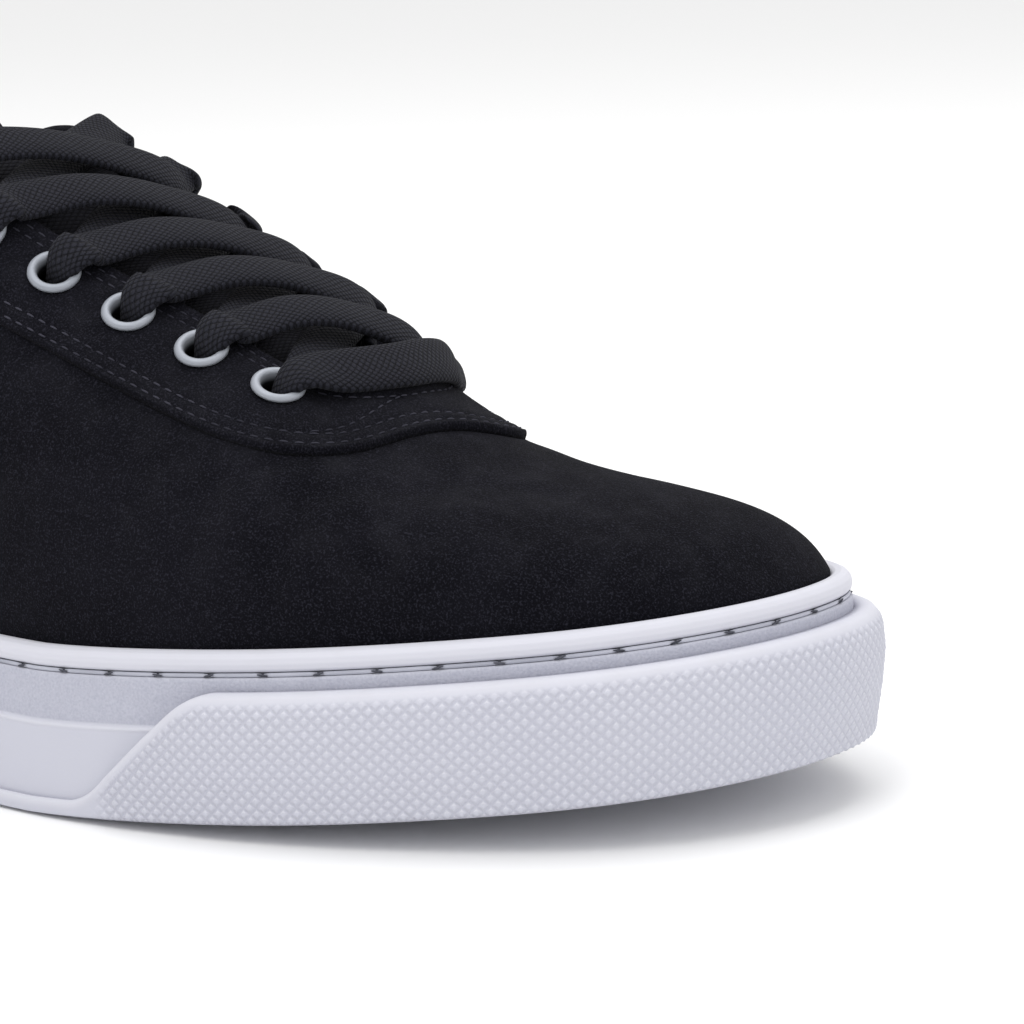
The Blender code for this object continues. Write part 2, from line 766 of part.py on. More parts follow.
def lace_bar(start, finish):
    """Stops of the straight lace between the two first eyelets."""
    near, far = over_edge(start[0]), over_edge(finish[0])
    return [over_eyelet(start), near, between(near, far, 0), far, over_eyelet(finish)]


def add_laces(shop, spots):
    """Bar at the first eyelets, and the crossed laces above it, each crossing one solid."""
    outer, inner = spots
    shop.add("lace_bar", strap(lace_bar(outer[0], inner[0]), "lace_bar"), "lace_weave")
    for number in range(1, EYELET_PAIRS):
        outer_gap = outer[number][0] + (outer[number - 1][0] - outer[number][0]) * LACE_DIVE
        inner_gap = inner[number][0] + (inner[number - 1][0] - inner[number][0]) * LACE_DIVE
        first = lace_from_eyelet(outer[number], inner_gap, LACE_THICKNESS / 2)
        second = lace_from_eyelet(inner[number], outer_gap, 0)
        name = f"lace_crossing_{number}"
        crossing = shop.add(name, strap(first, name), "lace_weave")
        other = shop.add_cutter(f"{name}_second", strap(second, f"{name}_second"))
        boolean(crossing, other, "UNION")


def centre_on_box(shop):
    """Move the stand so that the origin is the middle of the parts' box, at its bottom."""
    bpy.context.view_layer.update()
    graph = bpy.context.evaluated_depsgraph_get()
    corners = []
    for piece in shop.parts.objects:
        if piece.type == "MESH":
            solid = piece.evaluated_get(graph)
            corners += [piece.matrix_world @ vertex.co for vertex in solid.data.vertices]
    corners = np.array(corners)
    low, high = corners.min(axis=0), corners.max(axis=0)
    shop.stand.location = (-(low[0] + high[0]) / 2, -(low[1] + high[1]) / 2, -low[2])


def main():
    """Build every piece of the shoe."""
    clear_scene()
    shop = Shop()
    spots = eyelet_spots()
    holes = shop.add_cutter("lace_holes", lace_holes(spots[0] + spots[1]))
    add_cupsole(shop)
    add_foxing(shop)
    add_insole(shop)
    add_upper(shop, holes)
    add_tongue(shop)
    add_eyestay(shop, holes)
    add_eyelets(shop, spots)
    add_laces(shop, spots)
    centre_on_box(shop)


main()
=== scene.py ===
"""Looks of a low skateboarding shoe for the right foot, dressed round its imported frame.

Metres, +Z up, toe at +X, outer side of the foot at -Y. The same table of stations that shapes
the solids shapes every surface here, at a finer step: rubber cup and toe bumper with its diamond
relief, suede upper and eyestay with their stitching, padded tongue and collar, woven laces.
"""

import logging
import math
from dataclasses import dataclass, field
from enum import Enum
from typing import NamedTuple

import bmesh
import bpy
import numpy as np
from mathutils import Matrix, Vector


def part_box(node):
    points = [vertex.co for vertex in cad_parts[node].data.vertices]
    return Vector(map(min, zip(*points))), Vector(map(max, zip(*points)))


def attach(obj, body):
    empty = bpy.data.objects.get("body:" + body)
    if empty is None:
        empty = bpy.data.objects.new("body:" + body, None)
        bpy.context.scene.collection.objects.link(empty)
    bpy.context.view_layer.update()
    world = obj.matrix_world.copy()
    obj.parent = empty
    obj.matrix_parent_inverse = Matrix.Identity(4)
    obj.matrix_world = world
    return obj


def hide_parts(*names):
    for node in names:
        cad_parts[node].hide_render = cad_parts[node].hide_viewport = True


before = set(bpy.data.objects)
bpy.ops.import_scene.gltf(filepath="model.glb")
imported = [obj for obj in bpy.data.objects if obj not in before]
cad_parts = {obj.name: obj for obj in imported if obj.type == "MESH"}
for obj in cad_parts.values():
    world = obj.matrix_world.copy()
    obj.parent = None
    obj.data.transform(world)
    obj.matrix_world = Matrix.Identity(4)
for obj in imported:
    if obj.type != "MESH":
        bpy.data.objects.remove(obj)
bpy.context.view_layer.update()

LOG = logging.getLogger("shoe")
BODY = "root"

Array = np.ndarray
Mesh = bpy.types.Mesh
Node = bpy.types.Node
Socket = bpy.types.NodeSocket
Span = tuple[float, float]
Colour = tuple[float, float, float]


(ALONG, ACROSS, EDGE_ALONG, EDGE_ACROSS, EDGE_UP, RISE, FLARE, REACH, DROP, STAY) = range(10)


class Station(NamedTuple):
    """One row around the shoe, as shares of the sizes of ShoeForm.

    along, edge_along are shares of the sole's length, across, edge_across and stay of the ball's
    width, edge_up, rise and drop of the upper's height, flare of the ledge, and reach of the way
    in plan from the opening's edge back to the foot of the wall.
    """

    name: str
    along: float
    across: float
    edge_along: float
    edge_across: float
    edge_up: float
    rise: float
    flare: float
    reach: float
    drop: float
    stay: float


STATIONS = (
    Station("heel back", 0.000, 0.000, 0.040, 0.000, 0.752, 0.27, 0.55, 1.30, 0.27, 0.222),
    Station("heel corner, outer", 0.030, -0.222, 0.064, -0.157, 0.728, 0.27, 0.50, 1.20, 0.25, 0.222),
    Station("heel side, outer", 0.121, -0.347, 0.141, -0.250, 0.622, 0.20, 0.35, 1.00, 0.20, 0.222),
    Station("ankle, outer", 0.285, -0.356, 0.282, -0.269, 0.560, 0.20, 0.30, 1.00, 0.18, 0.222),
    Station("waist, outer", 0.436, -0.389, 0.416, -0.213, 1.020, 0.35, 0.15, 0.50, 0.20, 0.222),
    Station("behind the ball, outer", 0.574, -0.470, 0.537, -0.135, 0.838, 0.35, 0.20, 0.42, 0.08, 0.199),
    Station("ball, outer", 0.669, -0.486, 0.624, -0.112, 0.680, 0.30, 0.19, 0.43, 0.10, 0.211),
    Station("little toe", 0.765, -0.456, 0.685, -0.117, 0.572, 0.27, 0.20, 0.40, 0.09, 0.208),
    Station("fourth toe", 0.847, -0.383, 0.711, -0.095, 0.543, 0.26, 0.15, 0.38, 0.20, 0.167),
    Station("third toe", 0.921, -0.272, 0.724, -0.050, 0.532, 0.25, 0.02, 0.37, 0.25, 0.134),
    Station("toe front, outer", 0.974, -0.104, 0.729, 0.004, 0.522, 0.25, -0.60, 0.35, 0.25, 0.130),
    Station("toe tip", 0.996, 0.069, 0.730, 0.046, 0.518, 0.26, -1.10, 0.35, 0.26, 0.150),
    Station("big toe", 0.989, 0.237, 0.727, 0.102, 0.513, 0.26, -1.10, 0.33, 0.28, 0.178),
    Station("big toe, inner", 0.946, 0.370, 0.718, 0.148, 0.517, 0.23, -0.80, 0.33, 0.30, 0.194),
    Station("before the ball, inner", 0.866, 0.472, 0.695, 0.176, 0.548, 0.16, 0.00, 0.37, 0.31, 0.208),
    Station("ball, inner", 0.745, 0.509, 0.638, 0.199, 0.652, 0.17, 0.08, 0.38, 0.22, 0.211),
    Station("behind the ball, inner", 0.604, 0.454, 0.547, 0.213, 0.821, 0.28, 0.10, 0.42, 0.12, 0.199),
    Station("waist, inner", 0.436, 0.361, 0.416, 0.236, 1.020, 0.35, 0.05, 0.50, 0.20, 0.222),
    Station("ankle, inner", 0.285, 0.343, 0.282, 0.264, 0.560, 0.20, 0.25, 1.00, 0.18, 0.222),
    Station("heel side, inner", 0.121, 0.338, 0.141, 0.241, 0.622, 0.20, 0.35, 1.00, 0.20, 0.222),
    Station("heel corner, inner", 0.030, 0.222, 0.064, 0.157, 0.728, 0.27, 0.50, 1.20, 0.25, 0.222),
)


def ease(share: Array) -> Array:
    """Smooth step from 0 to 1.

    Args:
        share: Values, which are clipped to 0 to 1.

    Returns:
        Eased values.
    """
    share = np.clip(share, 0, 1)
    return share * share * (3 - 2 * share)


def bump(distance: Array, width: float) -> Array:
    """Bell curve of height 1 that dies out at about twice its width."""
    return np.exp(-(np.asarray(distance) / width) ** 2)


def unit(vectors: Array) -> Array:
    """Vectors scaled to length 1."""
    return vectors / np.linalg.norm(vectors, axis=-1, keepdims=True)


def run_length(points: Array) -> Array:
    """Distance travelled at each point of a polyline."""
    return np.concatenate([[0.0], np.cumsum(np.linalg.norm(np.diff(points, axis=0), axis=1))])


def smooth_track(points: Array, count: int) -> Array:
    """Rows along a smooth open curve through a few rows.

    Args:
        points: Rows that the curve passes through, of any width.
        count: Number of rows to return.

    Returns:
        Rows along the curve.
    """
    points = np.asarray(points, float)
    ends = np.vstack([2 * points[:1] - points[1:2], points, 2 * points[-1:] - points[-2:-1]])
    places = np.linspace(0, len(points) - 1, count)
    low = np.minimum(places.astype(int), len(points) - 2)
    share = (places - low)[:, None]
    before, start, finish, after = (ends[low + step] for step in range(4))
    return 0.5 * (2 * start + (finish - before) * share
                  + (2 * before - 5 * start + 4 * finish - after) * share ** 2
                  + (3 * start - before - 3 * finish + after) * share ** 3)


@dataclass
class ShoeForm:
    """The shoe's form: its sizes, the spline round its stations, and the upper's wall."""

    sole_length: float = 0.298
    ball_width: float = 0.108
    side_height: float = 0.0273
    ledge: float = 0.0086
    toe_spring: float = 0.0096
    forefoot_floor: float = 0.0085
    heel_floor: float = 0.0140
    upper_height: float = 0.0727
    upper_wall: float = 0.0020
    insole_thickness: float = 0.0040
    clearance: float = 0.0003
    spring_start: float = 0.600
    spring_power: float = 1.20
    floor_heel_end: float = 0.300
    floor_forefoot_start: float = 0.620
    solid_steps: int = 3
    loop_steps: int = 8400
    wall_steps: int = 120
    nudge: float = 0.01
    near_edge: float = 0.97
    toe_steps: int = 200
    toe_lowest: float = 0.2
    rows: Array = field(init=False)
    step: Array = field(init=False)
    bend: Array = field(init=False)
    loop_places: Array = field(init=False)
    loop_lengths: Array = field(init=False)
    shift: Array = field(init=False)

    def __post_init__(self) -> None:
        """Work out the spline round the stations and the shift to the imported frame."""
        sizes = (self.sole_length, self.ball_width, self.sole_length, self.ball_width,
                 self.upper_height, self.upper_height, self.ledge, 1.0, self.upper_height,
                 self.ball_width)
        self.rows = np.array([row[1:] for row in STATIONS]) * np.array(sizes)
        self.step, self.bend = self._smooth_loop(self.rows)
        self.loop_places = np.linspace(0, len(STATIONS), self.loop_steps + 1)
        self.loop_lengths = run_length(self.ring(self.loop_places, 0, 0)[:, :2])
        columns = np.arange(len(STATIONS) * self.solid_steps) / self.solid_steps
        inset = self.ledge + self.upper_wall + self.clearance
        coarse = self.floor_ring(columns, inset, self.clearance)
        self.shift = np.array(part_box("insole")[0]) - coarse.min(axis=0)

    @staticmethod
    def _smooth_loop(values: Array) -> tuple[Array, Array]:
        """Knots and second derivatives of a closed cubic spline through rows of values.

        Args:
            values: Rows to pass through; the first two columns set the knots.

        Returns:
            Step after each row, and the second derivatives.
        """
        count = len(values)
        chord = np.linalg.norm(np.roll(values[:, :2], -1, axis=0) - values[:, :2], axis=1)
        step = np.sqrt(chord)
        system = np.zeros((count, count))
        target = np.zeros_like(values)
        for row in range(count):
            before, after = step[row - 1], step[row]
            system[row, row - 1] += before
            system[row, row] += 2 * (before + after)
            system[row, (row + 1) % count] += after
            ahead = (values[(row + 1) % count] - values[row]) / after
            behind = (values[row] - values[row - 1]) / before
            target[row] = 6 * (ahead - behind)
        return step, np.linalg.solve(system, target)

    def values(self, places: Array) -> Array:
        """Values of every station column at places.

        Args:
            places: Places round the shoe, counted in stations from the heel back.

        Returns:
            A row of sizes for each place.
        """
        places = np.asarray(places, float) % len(STATIONS)
        low = np.floor(places).astype(int)
        high = (low + 1) % len(STATIONS)
        step = self.step[low][:, None]
        right = (places - low)[:, None]
        left = 1 - right
        line = left * self.rows[low] + right * self.rows[high]
        bend = (left ** 3 - left) * self.bend[low] + (right ** 3 - right) * self.bend[high]
        return line + bend * step ** 2 / 6

    def inward(self, places: Array) -> Array:
        """Unit vectors in plan from the sole's widest line to its inside."""
        reach = 2 * self.nudge
        run = (self.values(places + reach) - self.values(places - reach))[:, :2]
        return unit(np.stack([-run[:, 1], run[:, 0]], axis=1))

    def ground(self, along: Array) -> Array:
        """Height of the tread above the floor, at distances along the sole."""
        start = self.spring_start * self.sole_length
        share = np.clip((along - start) / (self.sole_length - start), 0, None)
        return self.toe_spring * share ** self.spring_power

    def cup_floor(self, along: Array) -> Array:
        """Height of the cup's floor above the tread, at distances along the sole."""
        span = self.floor_forefoot_start - self.floor_heel_end
        share = ease((along / self.sole_length - self.floor_heel_end) / span)
        return self.heel_floor + (self.forefoot_floor - self.heel_floor) * share

    def ring(self, places: Array, inset: Array | float, height: Array | float) -> Array:
        """Points round the sole.

        Args:
            places: Places round the shoe.
            inset: Distance in plan inwards from the widest line.
            height: Height above the tread.

        Returns:
            A point for each place.
        """
        plan = self.values(places)[:, [ALONG, ACROSS]] + self.inward(places) * np.reshape(inset, (-1, 1))
        return np.column_stack([plan, self.ground(plan[:, 0]) + height])

    def floor_ring(self, places: Array, inset: float, lift: float) -> Array:
        """Points round the shoe, lifted from the cup's floor."""
        level = self.ring(places, inset, 0)
        level[:, 2] += self.cup_floor(level[:, 0]) + lift
        return level

    def wall(self, places: Array | float, share: Array | float) -> Array:
        """Points on the outside of the upper.

        Args:
            places: Places round the shoe.
            share: Share of the way up the wall, 0 at the sole and 1 at the opening.

        Returns:
            A point for each place.
        """
        share = np.reshape(share, (-1, 1))
        places = np.atleast_1d(np.asarray(places, float))
        values = self.values(places)
        foot = self.ring(places, self.ledge, self.side_height)
        edge = values[:, [EDGE_ALONG, EDGE_ACROSS, EDGE_UP]]
        edge[:, 2] += self.side_height
        low = foot.copy()
        low[:, :2] -= self.inward(places) * values[:, FLARE, None]
        low[:, 2] += values[:, RISE]
        high = edge.copy()
        high[:, :2] += (foot - edge)[:, :2] * values[:, REACH, None]
        high[:, 2] -= values[:, DROP]
        rest = 1 - share
        return (rest ** 3 * foot + 3 * rest ** 2 * share * low
                + 3 * rest * share ** 2 * high + share ** 3 * edge)

    def outward(self, places: Array | float, share: Array | float) -> Array:
        """Unit normals of the upper's outside, at places and shares as in wall.

        Args:
            places: Places round the shoe.
            share: Share of the way up the wall.

        Returns:
            A unit vector for each place.
        """
        places = np.atleast_1d(np.asarray(places, float))
        around = self.wall(places + self.nudge, share) - self.wall(places - self.nudge, share)
        low = np.clip(np.asarray(share) - self.nudge, 0, 1)
        high = np.clip(np.asarray(share) + self.nudge, 0, 1)
        return unit(np.cross(around, self.wall(places, high) - self.wall(places, low)))

    def skin(self, places: Array | float, share: Array | float, lift: Array | float) -> Array:
        """Points at a lift above the upper's outside, or below it where the lift is negative."""
        lift = np.reshape(lift, (-1, 1))
        return self.wall(places, share) + self.outward(places, share) * lift

    def share_below_edge(self, places: Array, distance: Array | float) -> Array:
        """Share of the wall that lies a distance below the opening's edge.

        Args:
            places: Places round the shoe.
            distance: Distance down the wall, for all places or for each.

        Returns:
            A share for each place.
        """
        places = np.atleast_1d(np.asarray(places, float))
        distance = np.broadcast_to(distance, places.shape)
        shares = np.linspace(1, 0, self.wall_steps + 1)
        tracks = np.stack([self.wall(places, share) for share in shares])
        steps = np.linalg.norm(np.diff(tracks, axis=0), axis=2)
        runs = np.vstack([np.zeros(len(places)), np.cumsum(steps, axis=0)])
        return np.array([np.interp(distance[index], runs[:, index], shares)
                         for index in range(len(places))])

    def share_at(self, place: float, along: float) -> float:
        """Share of the wall, at a place by the toe, that lies at a distance along the sole."""
        shares = np.linspace(1, self.toe_lowest, self.toe_steps)
        track = self.wall(np.full(len(shares), place), shares)[:, 0]
        return float(np.interp(along, track, shares))

    def length_at(self, place: float) -> float:
        """Distance round the sole's widest line to a place."""
        return float(np.interp(place, self.loop_places, self.loop_lengths))

    def place_at(self, length: Array) -> Array:
        """Places at distances round the sole's widest line."""
        whole = self.loop_lengths[-1]
        return np.interp(np.asarray(length) % whole, self.loop_lengths, self.loop_places)

    def even_places(self, count: int) -> Array:
        """Places at equal distances all the way round the sole."""
        return self.place_at(np.arange(count) * self.loop_lengths[-1] / count)

    @staticmethod
    def halves(ring: Array) -> tuple[Array, Array]:
        """Outer and inner half of a ring of points, both from the heel back to the toe."""
        half = len(ring) // 2
        return ring[:half + 1], np.vstack([ring[half:], ring[:1]])[::-1]

    def over_edge(self, places: Array) -> Array:
        """Unit vectors up the wall and past the opening's edge."""
        return unit(self.wall(places, 1.0) - self.wall(places, self.near_edge))


class Solid(Enum):
    """How the rows of a grid are closed into a surface."""

    SHEET = "open on every side"
    BAND = "columns joined into a loop, open at both edges"
    TUBE = "rows and columns joined into loops"
    ROD = "columns joined into a loop, with both end rows closed"


def grid_mesh(name: str, rows: Array, solid: Solid, masks: dict[str, Array] | None = None,
              holes: Array | None = None) -> Mesh:
    """Mesh through a grid of points.

    Args:
        name: Name of the mesh.
        rows: Points as rows by columns by 3.
        solid: How the grid is closed.
        masks: Values for each point, by name, of one or three numbers.
        holes: For each face, by row and column, whether it is left out.

    Returns:
        A smooth shaded mesh.
    """
    rows = np.asarray(rows, float)
    height, width = rows.shape[:2]
    joined = height if solid is Solid.TUBE else height - 1
    beside = width - 1 if solid is Solid.SHEET else width
    low, left = np.meshgrid(np.arange(joined), np.arange(beside), indexing="ij")
    high, right = (low + 1) % height, (left + 1) % width
    corners = [low * width + left, low * width + right, high * width + right, high * width + left]
    faces = np.stack(corners, axis=-1)
    if holes is not None:
        faces = faces[~holes[:joined, :beside]]
    faces = faces.reshape(-1, 4).tolist()
    if solid is Solid.ROD:
        last = (height - 1) * width
        faces.append(list(range(width))[::-1])
        faces.append(list(range(last, last + width)))
    mesh = bpy.data.meshes.new(name)
    mesh.from_pydata(rows.reshape(-1, 3).tolist(), [], faces)
    for mask, values in (masks or {}).items():
        add_mask(mesh, mask, values)
    return mesh


def add_mask(mesh: Mesh, name: str, values: Array) -> None:
    """Store a number or a vector for each point of a mesh.

    Args:
        mesh: Mesh to store them in.
        name: Name that materials read.
        values: One or three numbers for each point.
    """
    values = np.asarray(values, np.float32)
    vector = values.shape[-1] == 3 and values.size == 3 * len(mesh.vertices)
    layer = mesh.attributes.new(name, "FLOAT_VECTOR" if vector else "FLOAT", "POINT")
    layer.data.foreach_set("vector" if vector else "value", values.ravel())


def tidy_mesh(mesh: Mesh, weld: float = 0.0, facing: bool = True,
              loose: bool = False) -> Mesh:
    """Weld a mesh's doubled points and point its faces outwards.

    Args:
        mesh: Mesh to change.
        weld: Distance within which points are joined, or 0 for none.
        facing: Whether the faces are turned to point outwards.
        loose: Whether points without a face are removed.

    Returns:
        The same mesh.
    """
    shape = bmesh.new()
    shape.from_mesh(mesh)
    if weld:
        bmesh.ops.remove_doubles(shape, verts=shape.verts, dist=weld)
    if loose:
        spare = [vertex for vertex in shape.verts if not vertex.link_faces]
        bmesh.ops.delete(shape, geom=spare, context="VERTS")
    if facing:
        bmesh.ops.recalc_face_normals(shape, faces=shape.faces)
    shape.to_mesh(mesh)
    shape.free()
    return mesh


def merged(name: str, meshes: list[Mesh]) -> Mesh:
    """One mesh with the faces of several, which are removed.

    Args:
        name: Name of the mesh.
        meshes: Meshes to join.

    Returns:
        The joined mesh.
    """
    shape = bmesh.new()
    for mesh in meshes:
        shape.from_mesh(mesh)
        bpy.data.meshes.remove(mesh)
    joined = bpy.data.meshes.new(name)
    shape.to_mesh(joined)
    shape.free()
    return joined


class Slot(Enum):
    """Names of material slots."""

    RUBBER = "sole_rubber"
    SUEDE = "suede"
    TONGUE = "tongue_cloth"
    INSOLE = "insole_cloth"
    LACE = "lace_weave"
    METAL = "eyelet_metal"
    LINING = "lining_cloth"
    THREAD = "thread"


class Wiring:
    """A node tree, with short calls that add nodes and join them."""

    def __init__(self, tree: bpy.types.NodeTree) -> None:
        """Start on an empty tree."""
        self.tree = tree
        tree.nodes.clear()

    def feed(self, socket: Socket, value: object) -> None:
        """Link a socket's value, or set it as a constant.

        Args:
            socket: Input to feed.
            value: Socket or constant.
        """
        if isinstance(value, Socket):
            self.tree.links.new(value, socket)
        else:
            socket.default_value = value

    def add(self, kind: str, inputs: dict | None = None, **settings: object) -> Node:
        """Add a node.

        Args:
            kind: Node type, without its ShaderNode prefix.
            inputs: Sockets or constants by input name or number.
            settings: Properties of the node.

        Returns:
            The node.
        """
        full = kind if kind.startswith("NodeGroup") else f"ShaderNode{kind}"
        node = self.tree.nodes.new(full)
        for name, value in settings.items():
            setattr(node, name, value)
        for name, value in (inputs or {}).items():
            self.feed(node.inputs[name], value)
        return node

    def math(self, operation: str, *values: object) -> Socket:
        """Output of a Math node on its values."""
        return self.add("Math", dict(enumerate(values)), operation=operation).outputs[0]

    def mix(self, factor: object, first: object, second: object) -> Socket:
        """Colour mixed from two, by a factor."""
        inputs = {0: factor, 6: first, 7: second}
        return self.add("Mix", inputs, data_type="RGBA").outputs[2]

    def tint(self, colour: object, mask: object, tint: "Tint") -> Socket:
        """Colour with a tint laid over it by a mask."""
        return self.mix(self.math("MULTIPLY", mask, tint.share), colour, (*tint.colour, 1))

    def ramp(self, value: object, low: float, high: float) -> Socket:
        """Value mapped smoothly from low to high onto 0 to 1."""
        inputs = {"Value": value, "From Min": low, "From Max": high}
        return self.add("MapRange", inputs, interpolation_type="SMOOTHSTEP").outputs[0]

    def place(self) -> Socket:
        """Point on the surface, in the shoe's own metres."""
        return self.add("TexCoord").outputs["Object"]

    def mask(self, name: str, vector: bool = False) -> Socket:
        """Value or vector that the mesh stores under a name."""
        node = self.add("Attribute", attribute_name=name)
        return node.outputs["Vector" if vector else "Fac"]

    def noise(self, where: object, scale: object, detail: float,
              roughness: float = 0.5) -> Socket:
        """Noise of so many cycles a metre."""
        inputs = {"Vector": where, "Scale": scale, "Detail": detail, "Roughness": roughness}
        return self.add("TexNoise", inputs).outputs["Fac"]

    def bumped(self, height: object, distance: float) -> Socket:
        """Normal bent by a height, in metres of distance."""
        return self.add("Bump", {"Height": height, "Distance": distance}).outputs[0]

    def give(self, node: Node, **values: object) -> None:
        """Feed several inputs of a node by name."""
        for name, value in values.items():
            self.feed(node.inputs[name], value)


class Effect:
    """Shader node groups that several finishes share, with the limits of their masks."""

    SPECKLE: Span = (0.47, 0.74)
    PATCH: Span = (0.35, 0.68)
    PATCH_HEIGHT: float = 0.35
    NAP_ROUGHNESS: float = 0.65
    CLOUD_SCALE: float = 42.0
    CLOUD: Span = (0.3, 0.7)
    # span of the mask: yarns in their colour, gaps darkened as painted shade
    YARN_AND_GAP_SHADE: Span = (0.02, 0.75)
    YARN_ROUND: float = 0.55
    UPWARD: Span = (-0.1, 1.0)
    DUST_SCALE: float = 170.0
    DUST: Span = (0.4, 0.8)
    SPECK_SCALE: float = 62.0
    SPECK: Span = (0.012, 0.022)

    def __init__(self) -> None:
        """Build each group once."""
        self.nap = self._nap()
        self.grain = self._grain()
        self.weave = self._weave()
        self.dust = self._dust()

    @staticmethod
    def _group(name: str, inputs: dict[str, float | None], outputs: tuple[str, ...]) -> tuple:
        """Empty node group with named sockets.

        Args:
            name: Name of the group.
            inputs: Default of each input, or None for a vector.
            outputs: Names of the outputs.

        Returns:
            The group, its wiring, its input node and its output node.
        """
        tree = bpy.data.node_groups.new(name, "ShaderNodeTree")
        for socket, value in inputs.items():
            kind = "NodeSocketVector" if value is None else "NodeSocketFloat"
            made = tree.interface.new_socket(socket, in_out="INPUT", socket_type=kind)
            if value is not None:
                made.default_value = value
        for socket in outputs:
            tree.interface.new_socket(socket, in_out="OUTPUT", socket_type="NodeSocketFloat")
        wires = Wiring(tree)
        return tree, wires, wires.add("NodeGroupInput"), wires.add("NodeGroupOutput")

    def _nap(self) -> bpy.types.NodeTree:
        """Short fibres of suede: a fine speckle, brushed patches, and a height.

        Returns:
            The group.
        """
        tree, wires, given, out = self._group(
            "suede_nap", {"Fibres": 3000.0, "Patches": 60.0}, ("Speckle", "Patch", "Height"))
        place = wires.place()
        fine = wires.noise(place, given.outputs["Fibres"], 3.0, self.NAP_ROUGHNESS)
        speckle = wires.ramp(fine, *self.SPECKLE)
        patch = wires.ramp(wires.noise(place, given.outputs["Patches"], 2.0), *self.PATCH)
        height = wires.math("MULTIPLY_ADD", patch, self.PATCH_HEIGHT, fine)
        wires.give(out, Speckle=speckle, Patch=patch, Height=height)
        return tree

    def _grain(self) -> bpy.types.NodeTree:
        """Fine stipple of moulded rubber and brushed metal, with soft clouds of colour.

        Returns:
            The group.
        """
        tree, wires, given, out = self._group("fine_grain", {"Scale": 3000.0}, ("Cloud", "Height"))
        place = wires.place()
        fine = wires.noise(place, given.outputs["Scale"], 2.0)
        cloud = wires.ramp(wires.noise(place, self.CLOUD_SCALE, 3.0), *self.CLOUD)
        wires.give(out, Cloud=cloud, Height=fine)
        return tree

    def _weave(self) -> bpy.types.NodeTree:
        """Yarns crossing on the slant: plump ovals in staggered rows, with painted shade in the gaps.

        Returns:
            The group.
        """
        tree, wires, given, out = self._group(
            "yarn_weave", {"Vector": None, "Across": 0.0013, "Along": 0.0019}, ("Yarn", "Height"))
        split = wires.add("SeparateXYZ", {0: given.outputs["Vector"]})
        across = wires.math("DIVIDE", split.outputs["X"], given.outputs["Across"])
        along = wires.math("DIVIDE", split.outputs["Y"], given.outputs["Along"])
        waves = []
        for operation in ("ADD", "SUBTRACT"):
            turn = wires.math("MULTIPLY", wires.math(operation, across, along), math.pi)
            waves.append(wires.math("ABSOLUTE", wires.math("SINE", turn)))
        yarn = wires.math("MULTIPLY", *waves)
        height = wires.math("POWER", yarn, self.YARN_ROUND)
        wires.give(out, Yarn=wires.ramp(yarn, *self.YARN_AND_GAP_SHADE), Height=height)
        return tree

    def _dust(self) -> bpy.types.NodeTree:
        """Light dust on faces that look up, and sparse dark specks.

        Returns:
            The group.
        """
        tree, wires, given, out = self._group("dust", {"Amount": 0.3}, ("Dust", "Specks"))
        place = wires.place()
        normal = wires.add("NewGeometry").outputs["Normal"]
        upward = wires.add("SeparateXYZ", {0: normal}).outputs["Z"]
        settled = wires.ramp(upward, *self.UPWARD)
        cloud = wires.ramp(wires.noise(place, self.DUST_SCALE, 2.0), *self.DUST)
        dust = wires.math("MULTIPLY", wires.math("MULTIPLY", settled, cloud), given.outputs["Amount"])
        cells = wires.add("TexVoronoi", {"Vector": place, "Scale": self.SPECK_SCALE})
        dots = wires.math("SUBTRACT", 1.0, wires.ramp(cells.outputs["Distance"], *self.SPECK))
        wires.give(out, Dust=dust, Specks=dots)
        return tree

    @staticmethod
    def put(wires: Wiring, tree: bpy.types.NodeTree, **inputs: object) -> Node:
        """Place one of the groups in a material, with its own values."""
        node = wires.add("Group", node_tree=tree)
        wires.give(node, **inputs)
        return node


class Tint(NamedTuple):
    """A colour laid over another, and how much of it shows at most."""

    colour: Colour
    share: float = 1.0


@dataclass(frozen=True)
class Finish:
    """A finish: the values that its shader takes, and the method that wires its colour."""

    name: str
    colour: Colour
    second: Colour
    roughness: float
    relief: float
    metallic: float = 0.0
    specular: float = 0.3
    sheen: float = 0.0
    sheen_roughness: float = 0.45
    dust_amount: float = 0.10

    def make(self, effects: Effect) -> bpy.types.Material:
        """Build the material.

        Args:
            effects: The shared node groups.

        Returns:
            The material.
        """
        material = bpy.data.materials.new(self.name)
        material.use_nodes = True
        wires = Wiring(material.node_tree)
        output = wires.add("OutputMaterial")
        shader = wires.add("BsdfPrincipled", {
            "Roughness": self.roughness, "Metallic": self.metallic,
            "Specular IOR Level": self.specular, "Sheen Weight": self.sheen,
            "Sheen Roughness": self.sheen_roughness})
        wires.feed(output.inputs["Surface"], shader.outputs["BSDF"])
        self.wire(wires, shader, effects)
        return material

    def wire(self, wires: Wiring, shader: Node, effects: Effect) -> None:
        """Wire colour and relief into the shader; each kind of finish has its own way."""
        raise NotImplementedError


@dataclass(frozen=True)
class SuedeFinish(Finish):
    """Brushed suede: dark nap with a faint lighter speckle and brushed patches."""

    dust: Tint = Tint((0.045, 0.045, 0.055))
    dust_amount: float = 0.12
    patch_share: float = 0.10
    nap_share: float = 0.9

    def wire(self, wires: Wiring, shader: Node, effects: Effect) -> None:
        """Wire the nap's speckle and patches.

        Args:
            wires: The material's wiring.
            shader: The material's shader.
            effects: The shared node groups.
        """
        nap = Effect.put(wires, effects.nap)
        dust = Effect.put(wires, effects.dust, Amount=self.dust_amount)
        tone = wires.math("MULTIPLY_ADD", nap.outputs["Patch"], self.patch_share,
                          nap.outputs["Speckle"])
        colour = wires.tint((*self.colour, 1), tone, Tint(self.second, self.nap_share))
        colour = wires.tint(colour, dust.outputs["Dust"], self.dust)
        wires.feed(shader.inputs["Base Color"], colour)
        wires.feed(shader.inputs["Normal"], wires.bumped(nap.outputs["Height"], self.relief))


